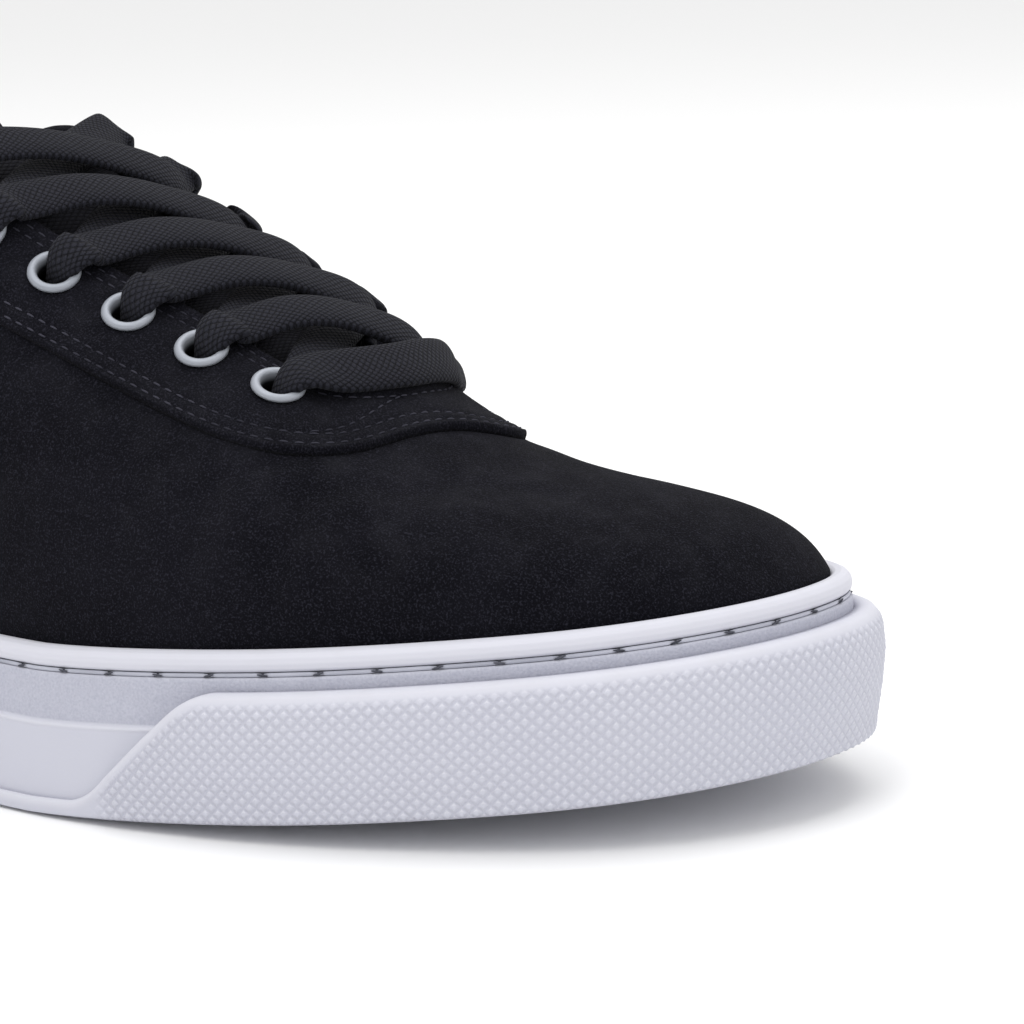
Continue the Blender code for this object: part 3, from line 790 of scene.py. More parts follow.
@dataclass(frozen=True)
class RubberFinish(Finish):
    """Moulded rubber with a fine stipple, painted highlights on its bead and edges, painted shade in its
    stitch groove and diamond valleys, darker tread grooves and a few specks.
    """

    grain_scale: float = 2400.0
    cloud_share: float = 0.22
    band: Tint = Tint((0.33, 0.34, 0.42), 0.9)
    # painted shade in the valleys between the toe's diamonds
    valley_shade: Tint = Tint((0.32, 0.325, 0.41), 0.25)
    # painted highlight on the upper edges of each diamond, for light from above
    peak_highlight: Tint = Tint((0.72, 0.72, 0.78), 0.55)
    # painted highlight on the cup's bead, along the panel's lip and along the bumper's top edge
    painted_highlight: Tint = Tint((0.63, 0.63, 0.69))
    # painted shade: dark colour for the cup's stitch groove, where its narrow gaps lie in shade; also
    # darkens the tread's cross grooves
    groove: Tint = Tint((0.075, 0.077, 0.095))
    dust: Tint = Tint((0.45, 0.44, 0.43))
    speck: Tint = Tint((0.12, 0.12, 0.14), 0.55)
    band_roughness: float = 0.25
    band_height: float = 1.6
    plain_height: float = 0.25
    diamond_height: float = 2.4
    # lit_from, lit_to and upper_half place the painted highlight round each diamond's top
    lit_from: Span = (0.16, 0.26)
    lit_to: Span = (0.29, 0.39)
    upper_half: Span = (0.18, 0.42)
    valley_shade_edge: Span = (0.36, 0.49)
    slope: Span = (0.20, 0.48)

    def wire(self, wires: Wiring, shader: Node, effects: Effect) -> None:
        """Wire clouds, stippled band, painted shade and highlights, darker tread grooves and specks.

        Args:
            wires: The material's wiring.
            shader: The material's shader.
            effects: The shared node groups.
        """
        grain = Effect.put(wires, effects.grain, Scale=self.grain_scale)
        dust = Effect.put(wires, effects.dust, Amount=self.dust_amount)
        colour = wires.tint((*self.colour, 1), grain.outputs["Cloud"],
                            Tint(self.second, self.cloud_share))
        band = wires.math("MULTIPLY", wires.mask("stipple"), grain.outputs["Height"])
        peak_highlight, valley_shade, relief = self._diamonds(wires)
        layers = (
            (band, self.band),
            # painted shade in the diamonds' valleys
            (valley_shade, self.valley_shade),
            # painted highlight on the diamonds' upper edges
            (peak_highlight, self.peak_highlight),
            # painted highlight: bead, panel lip, top edge of strip and bumper
            (wires.mask("painted_highlight"), self.painted_highlight),
            # painted shade in the stitch groove, and darker tread grooves
            (wires.mask("groove"), self.groove),
            (dust.outputs["Dust"], self.dust),
            (dust.outputs["Specks"], self.speck),
        )
        for mask, tint in layers:
            colour = wires.tint(colour, mask, tint)
        wires.feed(shader.inputs["Base Color"], colour)
        stipple = wires.mask("stipple")
        rough = wires.math("MULTIPLY_ADD", stipple, self.band_roughness, self.roughness)
        wires.feed(shader.inputs["Roughness"], rough)
        share = wires.math("MULTIPLY_ADD", stipple, self.band_height, self.plain_height)
        height = wires.math("MULTIPLY", grain.outputs["Height"], share)
        height = wires.math("MULTIPLY_ADD", relief, self.diamond_height, height)
        wires.feed(shader.inputs["Normal"], wires.bumped(height, self.relief))

    def _diamonds(self, wires: Wiring) -> tuple[Socket, ...]:
        """Painted highlight on the upper edges, painted shade in the valleys, and height of the pyramids,
        from the bumper's own cells.

        Args:
            wires: The material's wiring.

        Returns:
            The painted highlight, the painted valley shade and the height.
        """
        cell = wires.add("SeparateXYZ", {0: wires.mask("cell", vector=True)}).outputs
        sides = []
        for operation in ("ADD", "SUBTRACT"):
            slant = wires.math(operation, cell["X"], cell["Y"])
            sides.append(wires.math("SUBTRACT", wires.math("FRACT", slant), 0.5))
        edge = wires.math("MAXIMUM", *[wires.math("ABSOLUTE", side) for side in sides])
        lit = wires.math("MULTIPLY", wires.ramp(edge, *self.lit_from),
                         wires.math("SUBTRACT", 1.0, wires.ramp(edge, *self.lit_to)))
        upper = wires.ramp(wires.math("SUBTRACT", *sides), *self.upper_half)
        # painted highlight: a ring round each flat top, upper half only
        peak_highlight = wires.math("MULTIPLY", wires.math("MULTIPLY", lit, upper), cell["Z"])
        # painted shade at the cells' edges, in the valleys
        valley_shade = wires.math("MULTIPLY", wires.ramp(edge, *self.valley_shade_edge), cell["Z"])
        flat = wires.math("SUBTRACT", 1.0, wires.ramp(edge, *self.slope))
        return peak_highlight, valley_shade, wires.math("MULTIPLY", flat, cell["Z"])


@dataclass(frozen=True)
class WovenFinish(Finish):
    """Woven yarns with painted shade in their gaps, laid out by the mesh's own weave coordinates."""

    across: float = 0.0013
    along: float = 0.0019
    fibres: float = 4200.0
    patches: float = 220.0
    fuzz_share: float = 0.35
    fuzz_light: float = 3.0
    fuzz_height: float = 0.15

    def wire(self, wires: Wiring, shader: Node, effects: Effect) -> None:
        """Wire the yarns and their height.

        Args:
            wires: The material's wiring.
            shader: The material's shader.
            effects: The shared node groups.
        """
        weave = Effect.put(wires, effects.weave, Vector=wires.mask("weave", vector=True),
                           Across=self.across, Along=self.along)
        fuzz = Effect.put(wires, effects.nap, Fibres=self.fibres, Patches=self.patches)
        # yarn colour on the yarns, painted shade (the darker colour) in the gaps between them
        colour = wires.mix(weave.outputs["Yarn"], (*self.colour, 1), (*self.second, 1))
        light = tuple(self.fuzz_light * part for part in self.second)
        colour = wires.tint(colour, fuzz.outputs["Speckle"], Tint(light, self.fuzz_share))
        wires.feed(shader.inputs["Base Color"], colour)
        height = wires.math("MULTIPLY_ADD", fuzz.outputs["Height"], self.fuzz_height,
                            weave.outputs["Height"])
        wires.feed(shader.inputs["Normal"], wires.bumped(height, self.relief))


@dataclass(frozen=True)
class GrainFinish(Finish):
    """Painted metal or thread: one colour with soft clouds, fine grain, a little dust, and painted shade
    inside the eyelets' bores.
    """

    scale: float = 3000.0
    dust_light: float = 1.3
    # painted shade: near black colour for the inside of an eyelet's bore
    bore: Tint = Tint((0.012, 0.012, 0.015))

    def wire(self, wires: Wiring, shader: Node, effects: Effect) -> None:
        """Wire clouds, grain, dust and the painted shade of the bore.

        Args:
            wires: The material's wiring.
            shader: The material's shader.
            effects: The shared node groups.
        """
        grain = Effect.put(wires, effects.grain, Scale=self.scale)
        dust = Effect.put(wires, effects.dust, Amount=self.dust_amount)
        colour = wires.mix(grain.outputs["Cloud"], (*self.colour, 1), (*self.second, 1))
        light = tuple(self.dust_light * part for part in self.second)
        colour = wires.tint(colour, dust.outputs["Dust"], Tint(light))
        # painted shade inside the bore, by the bore mask
        colour = wires.tint(colour, wires.mask("bore"), self.bore)
        wires.feed(shader.inputs["Base Color"], colour)
        wires.feed(shader.inputs["Normal"], wires.bumped(grain.outputs["Height"], self.relief))


SUEDE = SuedeFinish("suede", (0.0032, 0.0032, 0.0052), (0.0240, 0.0240, 0.0340), 0.95, 0.00024,
                    specular=0.06, sheen=0.012)
RUBBER = RubberFinish("sole_rubber", (0.545, 0.550, 0.620), (0.490, 0.495, 0.575), 0.50, 0.00006)
LACE = WovenFinish("lace_weave", (0.0040, 0.0040, 0.0060), (0.0175, 0.0180, 0.0250), 0.85,
                   0.00020, specular=0.12, sheen=0.03, across=0.0010, along=0.0013)
TONGUE_CLOTH = WovenFinish("tongue_cloth", (0.0030, 0.0030, 0.0045), (0.010, 0.010, 0.014), 0.9,
                           0.00015, specular=0.1, sheen=0.02, across=0.0010, along=0.0010)
LINING = WovenFinish("lining_cloth", (0.0050, 0.0050, 0.0070), (0.014, 0.014, 0.018), 0.9,
                     0.00015, specular=0.1, sheen=0.02, across=0.0014, along=0.0014)
INSOLE_CLOTH = WovenFinish("insole_cloth", (0.006, 0.006, 0.008), (0.020, 0.020, 0.026), 0.9,
                           0.00015, specular=0.1, sheen=0.02, across=0.0012, along=0.0012)
EYELET_METAL = GrainFinish("eyelet_metal", (0.34, 0.36, 0.40), (0.28, 0.30, 0.34), 0.45, 0.00003,
                           metallic=0.3, specular=0.4)
THREAD = GrainFinish("thread", (0.020, 0.020, 0.029), (0.046, 0.046, 0.062), 0.8, 0.00005,
                     specular=0.15, scale=5200.0)
# thread where each stitch dives into the sole, coloured dark as painted shade of its hole
SHADED_KNOT_THREAD = GrainFinish("shaded_knot_thread", (0.05, 0.052, 0.066), (0.11, 0.112, 0.135), 0.8, 0.00005,
                          specular=0.15, scale=5200.0)
SOLE_THREAD = GrainFinish("sole_thread", (0.50, 0.51, 0.58), (0.34, 0.35, 0.41), 0.6, 0.00005,
                          scale=5200.0)


class Workshop:
    """Where the pieces are put together: the form, the finishes, and the bench's log."""

    def __init__(self, form: ShoeForm) -> None:
        """Make every finish once.

        Args:
            form: The shoe's form.
        """
        self.form = form
        effects = Effect()
        finishes = (SUEDE, RUBBER, LACE, TONGUE_CLOTH, LINING, INSOLE_CLOTH, EYELET_METAL,
                    THREAD, SOLE_THREAD, SHADED_KNOT_THREAD)
        self.materials = {finish.name: finish.make(effects) for finish in finishes}

    def add(self, name: str, mesh: Mesh, finish: Finish, slot: Slot,
            *nodes: str) -> bpy.types.Object:
        """Put a piece in its place.

        Args:
            name: Name of the piece.
            mesh: Its mesh, in the form's own metres.
            finish: Its finish.
            slot: Material slot name; not used.
            nodes: Solids that it stands for.

        Returns:
            The piece.
        """
        mesh.transform(Matrix.Translation(self.form.shift.tolist()))
        mesh.shade_smooth()
        mesh.materials.append(self.materials[finish.name])
        piece = bpy.data.objects.new(name, mesh)
        bpy.context.scene.collection.objects.link(piece)
        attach(piece, BODY)
        if nodes:
            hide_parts(*nodes)
        LOG.info("%s: %d faces", name, len(mesh.polygons))
        return piece


class Softbox(NamedTuple):
    """A square area light: where it stands, length of its side, and watts."""

    name: str
    place: tuple[float, float, float]
    size: float
    power: float


@dataclass
class Studio:
    """Camera, pale floor and soft light."""

    location: tuple[float, float, float] = (0.40256, -0.47959, 0.15361)
    target: tuple[float, float, float] = (0.11122, -0.03155, 0.05245)
    roll: float = math.radians(-1.68)
    lens: float = 126.63
    near_limit: float = 0.01
    floor_size: float = 40.0
    floor_grey: float = 0.93
    floor_roughness: float = 0.9
    floor_specular: float = 0.1
    world_strength: float = 0.92
    lights: tuple[Softbox, ...] = (
        Softbox("key_light", (0.05, -0.60, 1.30), 0.7, 5.0),
        Softbox("top_light", (0.05, 0.45, 1.40), 1.0, 6.0),
        Softbox("toe_light", (1.30, -0.25, 0.75), 0.9, 1.0),
    )

    def build(self) -> None:
        """Set up everything that isn't the shoe."""
        bpy.context.scene.view_settings.view_transform = "Standard"
        self._camera()
        self._floor()
        self._world()
        for box in self.lights:
            self._softbox(box)
        LOG.info("studio: camera, floor and lights")

    def _camera(self) -> None:
        """Camera at the photograph's angle, rolled as it is."""
        data = bpy.data.cameras.new("camera")
        data.lens = self.lens
        data.clip_start = self.near_limit
        camera = bpy.data.objects.new("camera", data)
        bpy.context.scene.collection.objects.link(camera)
        back = (Vector(self.location) - Vector(self.target)).normalized()
        level = Vector((0, 0, 1)).cross(back).normalized()
        upright = back.cross(level)
        right = level * math.cos(self.roll) + upright * math.sin(self.roll)
        up = upright * math.cos(self.roll) - level * math.sin(self.roll)
        turn = Matrix((right, up, back)).transposed().to_4x4()
        camera.matrix_world = Matrix.Translation(self.location) @ turn
        bpy.context.scene.camera = camera

    def _floor(self) -> None:
        """Wide pale floor at the tread's lowest level."""
        half = self.floor_size / 2
        mesh = bpy.data.meshes.new("floor")
        corners = [(-half, -half, 0), (half, -half, 0), (half, half, 0), (-half, half, 0)]
        mesh.from_pydata(corners, [], [(0, 1, 2, 3)])
        material = bpy.data.materials.new("pale_floor")
        material.use_nodes = True
        shader = material.node_tree.nodes["Principled BSDF"]
        shader.inputs["Base Color"].default_value = (*[self.floor_grey] * 3, 1)
        shader.inputs["Roughness"].default_value = self.floor_roughness
        shader.inputs["Specular IOR Level"].default_value = self.floor_specular
        mesh.materials.append(material)
        floor = bpy.data.objects.new("floor", mesh)
        bpy.context.scene.collection.objects.link(floor)

    def _world(self) -> None:
        """Even white surroundings."""
        world = bpy.data.worlds.new("white_room")
        world.use_nodes = True
        background = world.node_tree.nodes["Background"]
        background.inputs["Color"].default_value = (1, 1, 1, 1)
        background.inputs["Strength"].default_value = self.world_strength
        bpy.context.scene.world = world

    def _softbox(self, box: Softbox) -> None:
        """Put up one light, turned to the shoe.

        Args:
            box: The light.
        """
        data = bpy.data.lights.new(box.name, "AREA")
        data.size = box.size
        data.energy = box.power
        light = bpy.data.objects.new(box.name, data)
        bpy.context.scene.collection.objects.link(light)
        light.location = box.place
        aim = Vector(self.target) - Vector(box.place)
        light.rotation_mode = "QUATERNION"
        light.rotation_quaternion = aim.to_track_quat("-Z", "Y")


class SideRow(NamedTuple):
    """One level of the cup's side: height as a share of its height, inset of the ledge."""

    name: str
    up: float
    inset: float


class Belt(NamedTuple):
    """A belt round the cup's side: foot, top and soft edge as shares of its height, and strength."""

    foot: float
    top: float
    soft: float
    strength: float

    def mask(self, up: Array) -> Array:
        """Strength of the belt at each height."""
        inside = ease((up - self.foot) / self.soft) * (1 - ease((up - self.top) / self.soft))
        return inside * self.strength


@dataclass
class CupSole:
    """One-piece rubber cup: tread, side panel, stippled band, stitch groove and bead."""

    columns: int = 720
    row_step: float = 0.00045
    tread_across: int = 40
    groove_pitch: float = 0.0120
    groove_width: float = 0.0030
    groove_depth: float = 0.0016
    groove_border: float = 0.0100
    groove_wall: float = 0.0006
    groove_end: float = 0.0012
    # share of the dark groove colour laid into the tread's cross grooves, making them darker
    tread_groove_darkening: float = 0.12
    stipple: Belt = Belt(0.560, 0.835, 0.012, 1.0)
    # painted shade: band of the stitch groove that the groove colour darkens
    groove_shade: Belt = Belt(0.845, 0.874, 0.004, 0.85)
    # painted highlight on the bead's top
    bead: Belt = Belt(0.878, 1.500, 0.010, 0.75)
    # painted highlight: a light line along the side panel's lip
    lip_highlight_level: float = 0.545
    lip_highlight_width: float = 0.012
    lip_highlight: float = 0.8
    stitch_pitch: float = 0.0098
    stitch_gap: float = 0.0005
    stitch_level: float = 0.860
    stitch_inset: float = 0.640
    thread_width: float = 0.00036
    thread_flatness: float = 1.9
    thread_sides: int = 8
    thread_square: float = 3.0
    stitch_steps: int = 9
    taper: float = 0.35
    taper_power: int = 8
    knot_length: float = 0.0019
    knot_inset: float = 0.600
    knot_slants: Span = (0.22, -0.12)
    weld: float = 0.000005
    side: tuple[SideRow, ...] = (
        SideRow("tread edge", 0.000, 0.360),
        SideRow("tread corner", 0.010, 0.315),
        SideRow("side wall", 0.028, 0.300),
        SideRow("panel", 0.300, 0.385),
        SideRow("panel lip, foot", 0.525, 0.445),
        SideRow("panel lip", 0.540, 0.432),
        SideRow("panel, top", 0.553, 0.450),
        SideRow("band, foot", 0.565, 0.520),
        SideRow("band", 0.700, 0.560),
        SideRow("band, top", 0.832, 0.580),
        SideRow("stitch groove, lip", 0.843, 0.600),
        SideRow("stitch groove, foot", 0.848, 0.690),
        SideRow("stitch groove, top", 0.872, 0.690),
        SideRow("bead, foot", 0.877, 0.645),
        SideRow("bead, low", 0.893, 0.600),
        SideRow("bead, widest", 0.922, 0.585),
        SideRow("bead, high", 0.955, 0.610),
        SideRow("bead, shoulder", 0.982, 0.680),
        SideRow("bead, crest", 0.998, 0.790),
        SideRow("bead, back", 0.994, 0.900),
        SideRow("feather line", 0.975, 0.985),
    )

    def build(self, shop: Workshop) -> None:
        """Build the cup with its tread, and the stitching in its groove.

        Args:
            shop: The workshop.
        """
        form = shop.form
        places = form.even_places(self.columns)
        heights, insets = self._profile(form)
        rows = [form.ring(places, inset, height) for inset, height in zip(insets, heights)]
        inner = form.ledge - form.clearance
        rows.append(form.floor_ring(places, inner, 0))
        up = np.append(heights / form.side_height, 0.0)
        masks = {name: np.repeat(mask, self.columns) for name, mask in self._masks(up).items()}
        cup = grid_mesh("cupsole_rubber", rows, Solid.BAND, masks)
        parts = [cup, self._tread(form, places, insets[0]), self._floor(form, places, inner)]
        mesh = tidy_mesh(merged("cupsole_rubber", parts), weld=self.weld)
        shop.add("cupsole_rubber", mesh, RUBBER, Slot.RUBBER, "cupsole")
        self._stitches(shop)

    def _profile(self, form: ShoeForm) -> tuple[Array, Array]:
        """Heights and insets of the side's rows, at an even step with soft corners.

        Args:
            form: The shoe's form.

        Returns:
            Heights and insets, row by row.
        """
        table = np.array([row[1:] for row in self.side]) * (form.side_height, form.ledge)
        run = run_length(table)
        fine = np.linspace(0, run[-1], int(run[-1] / self.row_step) + 1)
        fine = np.union1d(fine, run)
        return np.interp(fine, run, table[:, 0]), np.interp(fine, run, table[:, 1])

    def _masks(self, up: Array) -> dict[str, Array]:
        """Stippled band, painted shade in the stitch groove, and painted highlight on the bead and along
        the panel's lip, by height as a share of the side.
        """
        # painted highlight along the panel's lip, together with the bead's
        lip = bump(up - self.lip_highlight_level, self.lip_highlight_width) * self.lip_highlight
        return {"stipple": self.stipple.mask(up), "groove": self.groove_shade.mask(up),
                "painted_highlight": np.maximum(self.bead.mask(up), lip)}

    def _tread(self, form: ShoeForm, places: Array, inset: float) -> Mesh:
        """Underside, from the outer to the inner edge, with its cross grooves.

        Args:
            form: The shoe's form.
            places: Places round the shoe.
            inset: Inset of the tread's edge.

        Returns:
            The mesh of the tread.
        """
        outer, inner = form.halves(form.ring(places, inset, 0))
        shares = np.linspace(0, 1, self.tread_across)[:, None, None]
        rows = outer + (inner - outer) * shares
        width = np.linalg.norm(inner - outer, axis=1)
        border = np.minimum(shares[..., 0], 1 - shares[..., 0]) * width
        phase = np.abs((rows[..., 0] / self.groove_pitch) % 1 - 0.5) * self.groove_pitch
        groove = ease((self.groove_width / 2 - phase) / self.groove_wall + 0.5)
        groove = groove * ease((border - self.groove_border) / self.groove_end)
        rows[..., 2] = form.ground(rows[..., 0]) + self.groove_depth * groove
        # darker in the cross grooves
        masks = {"groove": groove.ravel() * self.tread_groove_darkening}
        return grid_mesh("tread", rows, Solid.SHEET, masks)

    def _floor(self, form: ShoeForm, places: Array, inset: float) -> Mesh:
        """Floor of the cup, under the insole."""
        halves = form.halves(form.floor_ring(places, inset, 0))
        return grid_mesh("cup_floor", np.stack(halves), Solid.SHEET)

    def _stitches(self, shop: Workshop) -> None:
        """Long stitches of pale thread that fill the groove, end to end.

        Args:
            shop: The workshop.
        """
        form = shop.form
        whole = form.length_at(len(STATIONS))
        count = round(whole / self.stitch_pitch)
        pitch = whole / count
        height = self.stitch_level * form.side_height
        steps = np.linspace(-1, 1, self.stitch_steps)
        thread = self.thread_width * (1 - self.taper * np.abs(steps) ** self.taper_power)
        meshes = []
        for number in range(count):
            start = number * pitch + self.stitch_gap / 2
            track = np.linspace(start, start + pitch - self.stitch_gap, len(steps))
            centre, out = self._groove_line(form, form.place_at(track), self.stitch_inset)
            rows = ribbon(centre, out, thread * self.thread_flatness, thread, self.thread_sides,
                          self.thread_square)
            meshes.append(grid_mesh("stitch", rows, Solid.ROD))
        mesh = merged("cup_stitching", meshes)
        shop.add("cup_stitching", tidy_mesh(mesh), SOLE_THREAD, Slot.THREAD)
        # thread knots at the joints; their dark colour is painted shade of the stitch holes
        joints = form.place_at(np.arange(count) * pitch)
        centre, out = self._groove_line(form, joints, self.knot_inset)
        ahead, behind = (form.ring(joints + reach, 0.0, height)
                         for reach in (form.nudge, -form.nudge))
        slant = np.zeros((count, 3))
        slant[:, 2] = np.where(np.arange(count) % 2 == 0, *self.knot_slants)
        spots = list(zip(centre, unit(unit(ahead - behind) + slant), out))
        knots = stitch_mesh("cup_stitch_shaded_knots", spots, self.knot_length, self.thread_width)
        shop.add("cup_stitch_shaded_knots", knots, SHADED_KNOT_THREAD, Slot.THREAD)

    def _groove_line(self, form: ShoeForm, places: Array, inset: float) -> tuple[Array, Array]:
        """Points at the stitches' level, at an inset as a share of the ledge, and the way out."""
        centre = form.ring(places, inset * form.ledge, self.stitch_level * form.side_height)
        return centre, np.column_stack([-form.inward(places), np.zeros(len(places))])


def ribbon(track: Array, facing: Array, width: Array, thickness: Array, sides: int,
           square: float = 2.0) -> Array:
    """Rows of a band with a rounded section that follows a track.

    Args:
        track: Points along the middle of the band.
        facing: Direction that its flat side faces at each point.
        width: Width at each point.
        thickness: Thickness at each point.
        sides: Points round the section.
        square: Power of the section: 2 is an ellipse, and more is squarer.

    Returns:
        Points as rows by columns by 3.
    """
    run = unit(np.gradient(track, axis=0))
    side = unit(np.cross(facing, run))
    face = np.cross(run, side)
    turns = np.arange(sides) * 2 * math.pi / sides
    power = 2 / square
    across = np.sign(np.cos(turns)) * np.abs(np.cos(turns)) ** power
    up = np.sign(np.sin(turns)) * np.abs(np.sin(turns)) ** power
    wide = side[:, None] * (np.reshape(width, (-1, 1)) / 2 * across)[..., None]
    thick = face[:, None] * (np.reshape(thickness, (-1, 1)) / 2 * up)[..., None]
    return track[:, None] + wide + thick


@dataclass
class Foxing:
    """Rubber strip round the foot of the side, which rises into the diamond toe bumper."""

    strip_height: float = 0.0031
    bumper_height: float = 0.0212
    lift: float = 0.0005
    end_foot: float = 0.640
    end_top: float = 0.715
    diamond: float = 0.0023
    diamond_rows: int = 10
    cell_steps: int = 7
    relief: float = 0.00026
    tooth: float = 0.00010
    strip_step: float = 0.0022
    toe_tip: float = 11.0
    bumper_reach: float = 0.170
    back_inset: float = 0.300
    back_lean: float = 0.26
    end_soft: float = 0.16
    edge_round: float = 0.0006
    foot_round: float = 0.0003
    edge_depth: float = 0.00035
    foot_fade: float = 30.0
    tooth_fade: float = 40.0
    back_drop: float = 0.0002
    # painted highlight along the top edge of strip and bumper
    painted_highlight_edge: Span = (0.0006, 0.0008)
    painted_highlight_share: float = 0.7
    steepness: float = 1.15
    flat_tip: float = 0.92
    lip_fade: Span = (0.0012, 0.0010)
    end_fade: Span = (0.0008, 0.0030)
    ahead_fade: Span = (0.004, 0.020)
    face: tuple[SideRow, ...] = (
        SideRow("foot", 0.000, 0.185),
        SideRow("strip top", 0.146, 0.160),
        SideRow("low", 0.400, 0.062),
        SideRow("widest", 0.660, 0.000),
        SideRow("shoulder", 0.850, 0.040),
        SideRow("lip", 0.930, 0.105),
        SideRow("ridge", 0.975, 0.190),
        SideRow("top", 1.000, 0.330),
    )

    def build(self, shop: Workshop) -> None:
        """Build the strip and bumper as one closed piece.

        Args:
            shop: The workshop.
        """
        form = shop.form
        places, along = self._columns(form)
        top = self._top(form, places)
        count = self.diamond_rows * self.cell_steps
        rows, painted_highlight, cells = [], [], []
        for share in np.linspace(0, 1, count + 1):
            height = self.lift + (top - self.lift) * share
            inset = self._face_inset(form, height, top, share)
            fade = self._fade(form, places, height, top)
            rise = self._diamonds(along, height) * fade
            tooth = self.tooth * np.cos(2 * math.pi * along / self.diamond)
            tooth *= math.exp(-share * self.tooth_fade)
            rows.append(form.ring(places, inset - rise * self.relief, height + tooth * fade))
            # painted highlight just below the top edge, where its rounding meets the light
            below, soft = self.painted_highlight_edge
            painted_highlight.append(bump(top - height - below, soft) * self.painted_highlight_share)
            up = height * self.diamond_rows / self.bumper_height
            cells.append(np.column_stack([along / self.diamond + 0.5, up, fade]))
        back = (self.back_inset + self.back_lean * top / self.bumper_height) * form.ledge
        rows.append(form.ring(places, back, top - self.back_drop))
        rows.append(form.ring(places, self.back_inset * form.ledge - form.clearance, self.lift))
        painted_highlight += [np.zeros(len(places))] * 2
        cells += [np.zeros((len(places), 3))] * 2
        masks = {"painted_highlight": np.concatenate(painted_highlight), "cell": np.concatenate(cells)}
        mesh = tidy_mesh(grid_mesh("foxing_rubber", rows, Solid.TUBE, masks))
        shop.add("foxing_rubber", mesh, RUBBER, Slot.RUBBER, "foxing")

    def _columns(self, form: ShoeForm) -> tuple[Array, Array]:
        """Places of the columns, fine round the toe, and their distances from the toe tip.

        Args:
            form: The shoe's form.

        Returns:
            Places, and distances from the toe tip.
        """
        tip = form.length_at(self.toe_tip)
        whole = form.length_at(len(STATIONS))
        fine = self.diamond / self.cell_steps
        reach = int(self.bumper_reach / fine) * fine
        bumper = np.arange(-reach, reach + fine / 2, fine)
        rest = whole - 2 * reach
        strip = np.linspace(reach, reach + rest, int(rest / self.strip_step) + 1)[1:-1]
        along = np.concatenate([bumper, strip])
        return form.place_at(tip + along), along

    def _top(self, form: ShoeForm, places: Array) -> Array:
        """Height of the top edge: strip, slanted end with soft corners, and bumper.

        Args:
            form: The shoe's form.
            places: Places round the shoe.

        Returns:
            A height for each place.
        """
        along = form.values(places)[:, ALONG] / form.sole_length
        share = (along - self.end_foot) / (self.end_top - self.end_foot)
        area = [np.where(x < 0, 0, np.where(x > 1, x - 0.5, x * x / 2))
                for x in (share + self.end_soft, share - self.end_soft)]
        rise = (area[0] - area[1]) / (2 * self.end_soft)
        return self.strip_height + (self.bumper_height - self.strip_height) * rise

    def _face_inset(self, form: ShoeForm, height: Array, top: Array, share: float) -> Array:
        """Inset of the face at a height, rounded at the foot and at the top edge.

        Args:
            form: The shoe's form.
            height: Height above the tread.
            top: Height of the top edge there.
            share: Share of the way up the face.

        Returns:
            An inset for each place.
        """
        levels = [row.up * self.bumper_height for row in self.face]
        insets = [row.inset * form.ledge for row in self.face]
        inset = np.interp(height, levels, insets)
        short = 1 - ease((top - self.strip_height) / (self.bumper_height - self.strip_height))
        edge = np.exp(-(top - height) / self.edge_depth) * self.edge_round * short
        foot = math.exp(-share * self.foot_fade) * self.foot_round
        return inset + edge + foot

    def _diamonds(self, along: Array, height: Array) -> Array:
        """Height of the staggered pyramids, 0 in the valleys and 1 at their flattened tips.

        Args:
            along: Distance from the toe tip, round the sole.
            height: Height above the tread.

        Returns:
            The relief for each column.
        """
        across = along / self.diamond
        up = height * self.diamond_rows / self.bumper_height
        slant, counter = across + up, across - up
        edge = np.maximum(np.abs(slant - np.round(slant)), np.abs(counter - np.round(counter)))
        return np.clip((1 - 2 * edge) * self.steepness, 0, self.flat_tip)

    def _fade(self, form: ShoeForm, places: Array, height: Array, top: Array) -> Array:
        """Share of the relief: full on the bumper, none on its lip, its end and the strip.

        Args:
            form: The shoe's form.
            places: Places round the shoe.
            height: Height above the tread.
            top: Height of the top edge there.

        Returns:
            A share for each place.
        """
        along = form.values(places)[:, ALONG] / form.sole_length
        full = 1
        for value, (start, run) in ((top - height, self.lip_fade),
                                    (top - self.strip_height, self.end_fade),
                                    (along - self.end_foot, self.ahead_fade)):
            full = full * ease((value - start) / run)
        return full


@dataclass
class Insole:
    """Footbed on the cup's floor, crowned and turned up a little at its edge."""

    columns: int = 240
    across: int = 25
    hollow: float = 0.07
    weld: float = 0.000005

    def build(self, shop: Workshop) -> None:
        """Build the footbed as one closed pad.

        Args:
            shop: The workshop.
        """
        form = shop.form
        inset = form.ledge + form.upper_wall + form.clearance
        ring = form.floor_ring(form.even_places(self.columns), inset, form.clearance)
        outer, inner = form.halves(ring)
        shares = np.linspace(0, 1, self.across)[:, None, None]
        under = outer + (inner - outer) * shares
        face = under.copy()
        side = 2 * shares[..., 0] - 1
        face[..., 2] += form.insole_thickness * (1 - self.hollow * (1 - side ** 4))
        rows = np.concatenate([face, under[::-1]]).swapaxes(0, 1)
        masks = {"weave": rows[..., [1, 0, 2]].reshape(-1, 3)}
        mesh = tidy_mesh(grid_mesh("insole_pad", rows, Solid.ROD, masks), self.weld)
        shop.add("insole_pad", mesh, INSOLE_CLOTH, Slot.INSOLE, "insole")


class Crease(NamedTuple):
    """A soft trough or ridge in the suede, placed on the wall.

    place and share give its middle, length and width its half sizes along and across it, turn
    its slant in radians from level, and depth how far it goes in, or out where negative.
    """

    name: str
    place: float
    share: float
    length: float
    width: float
    turn: float
    depth: float


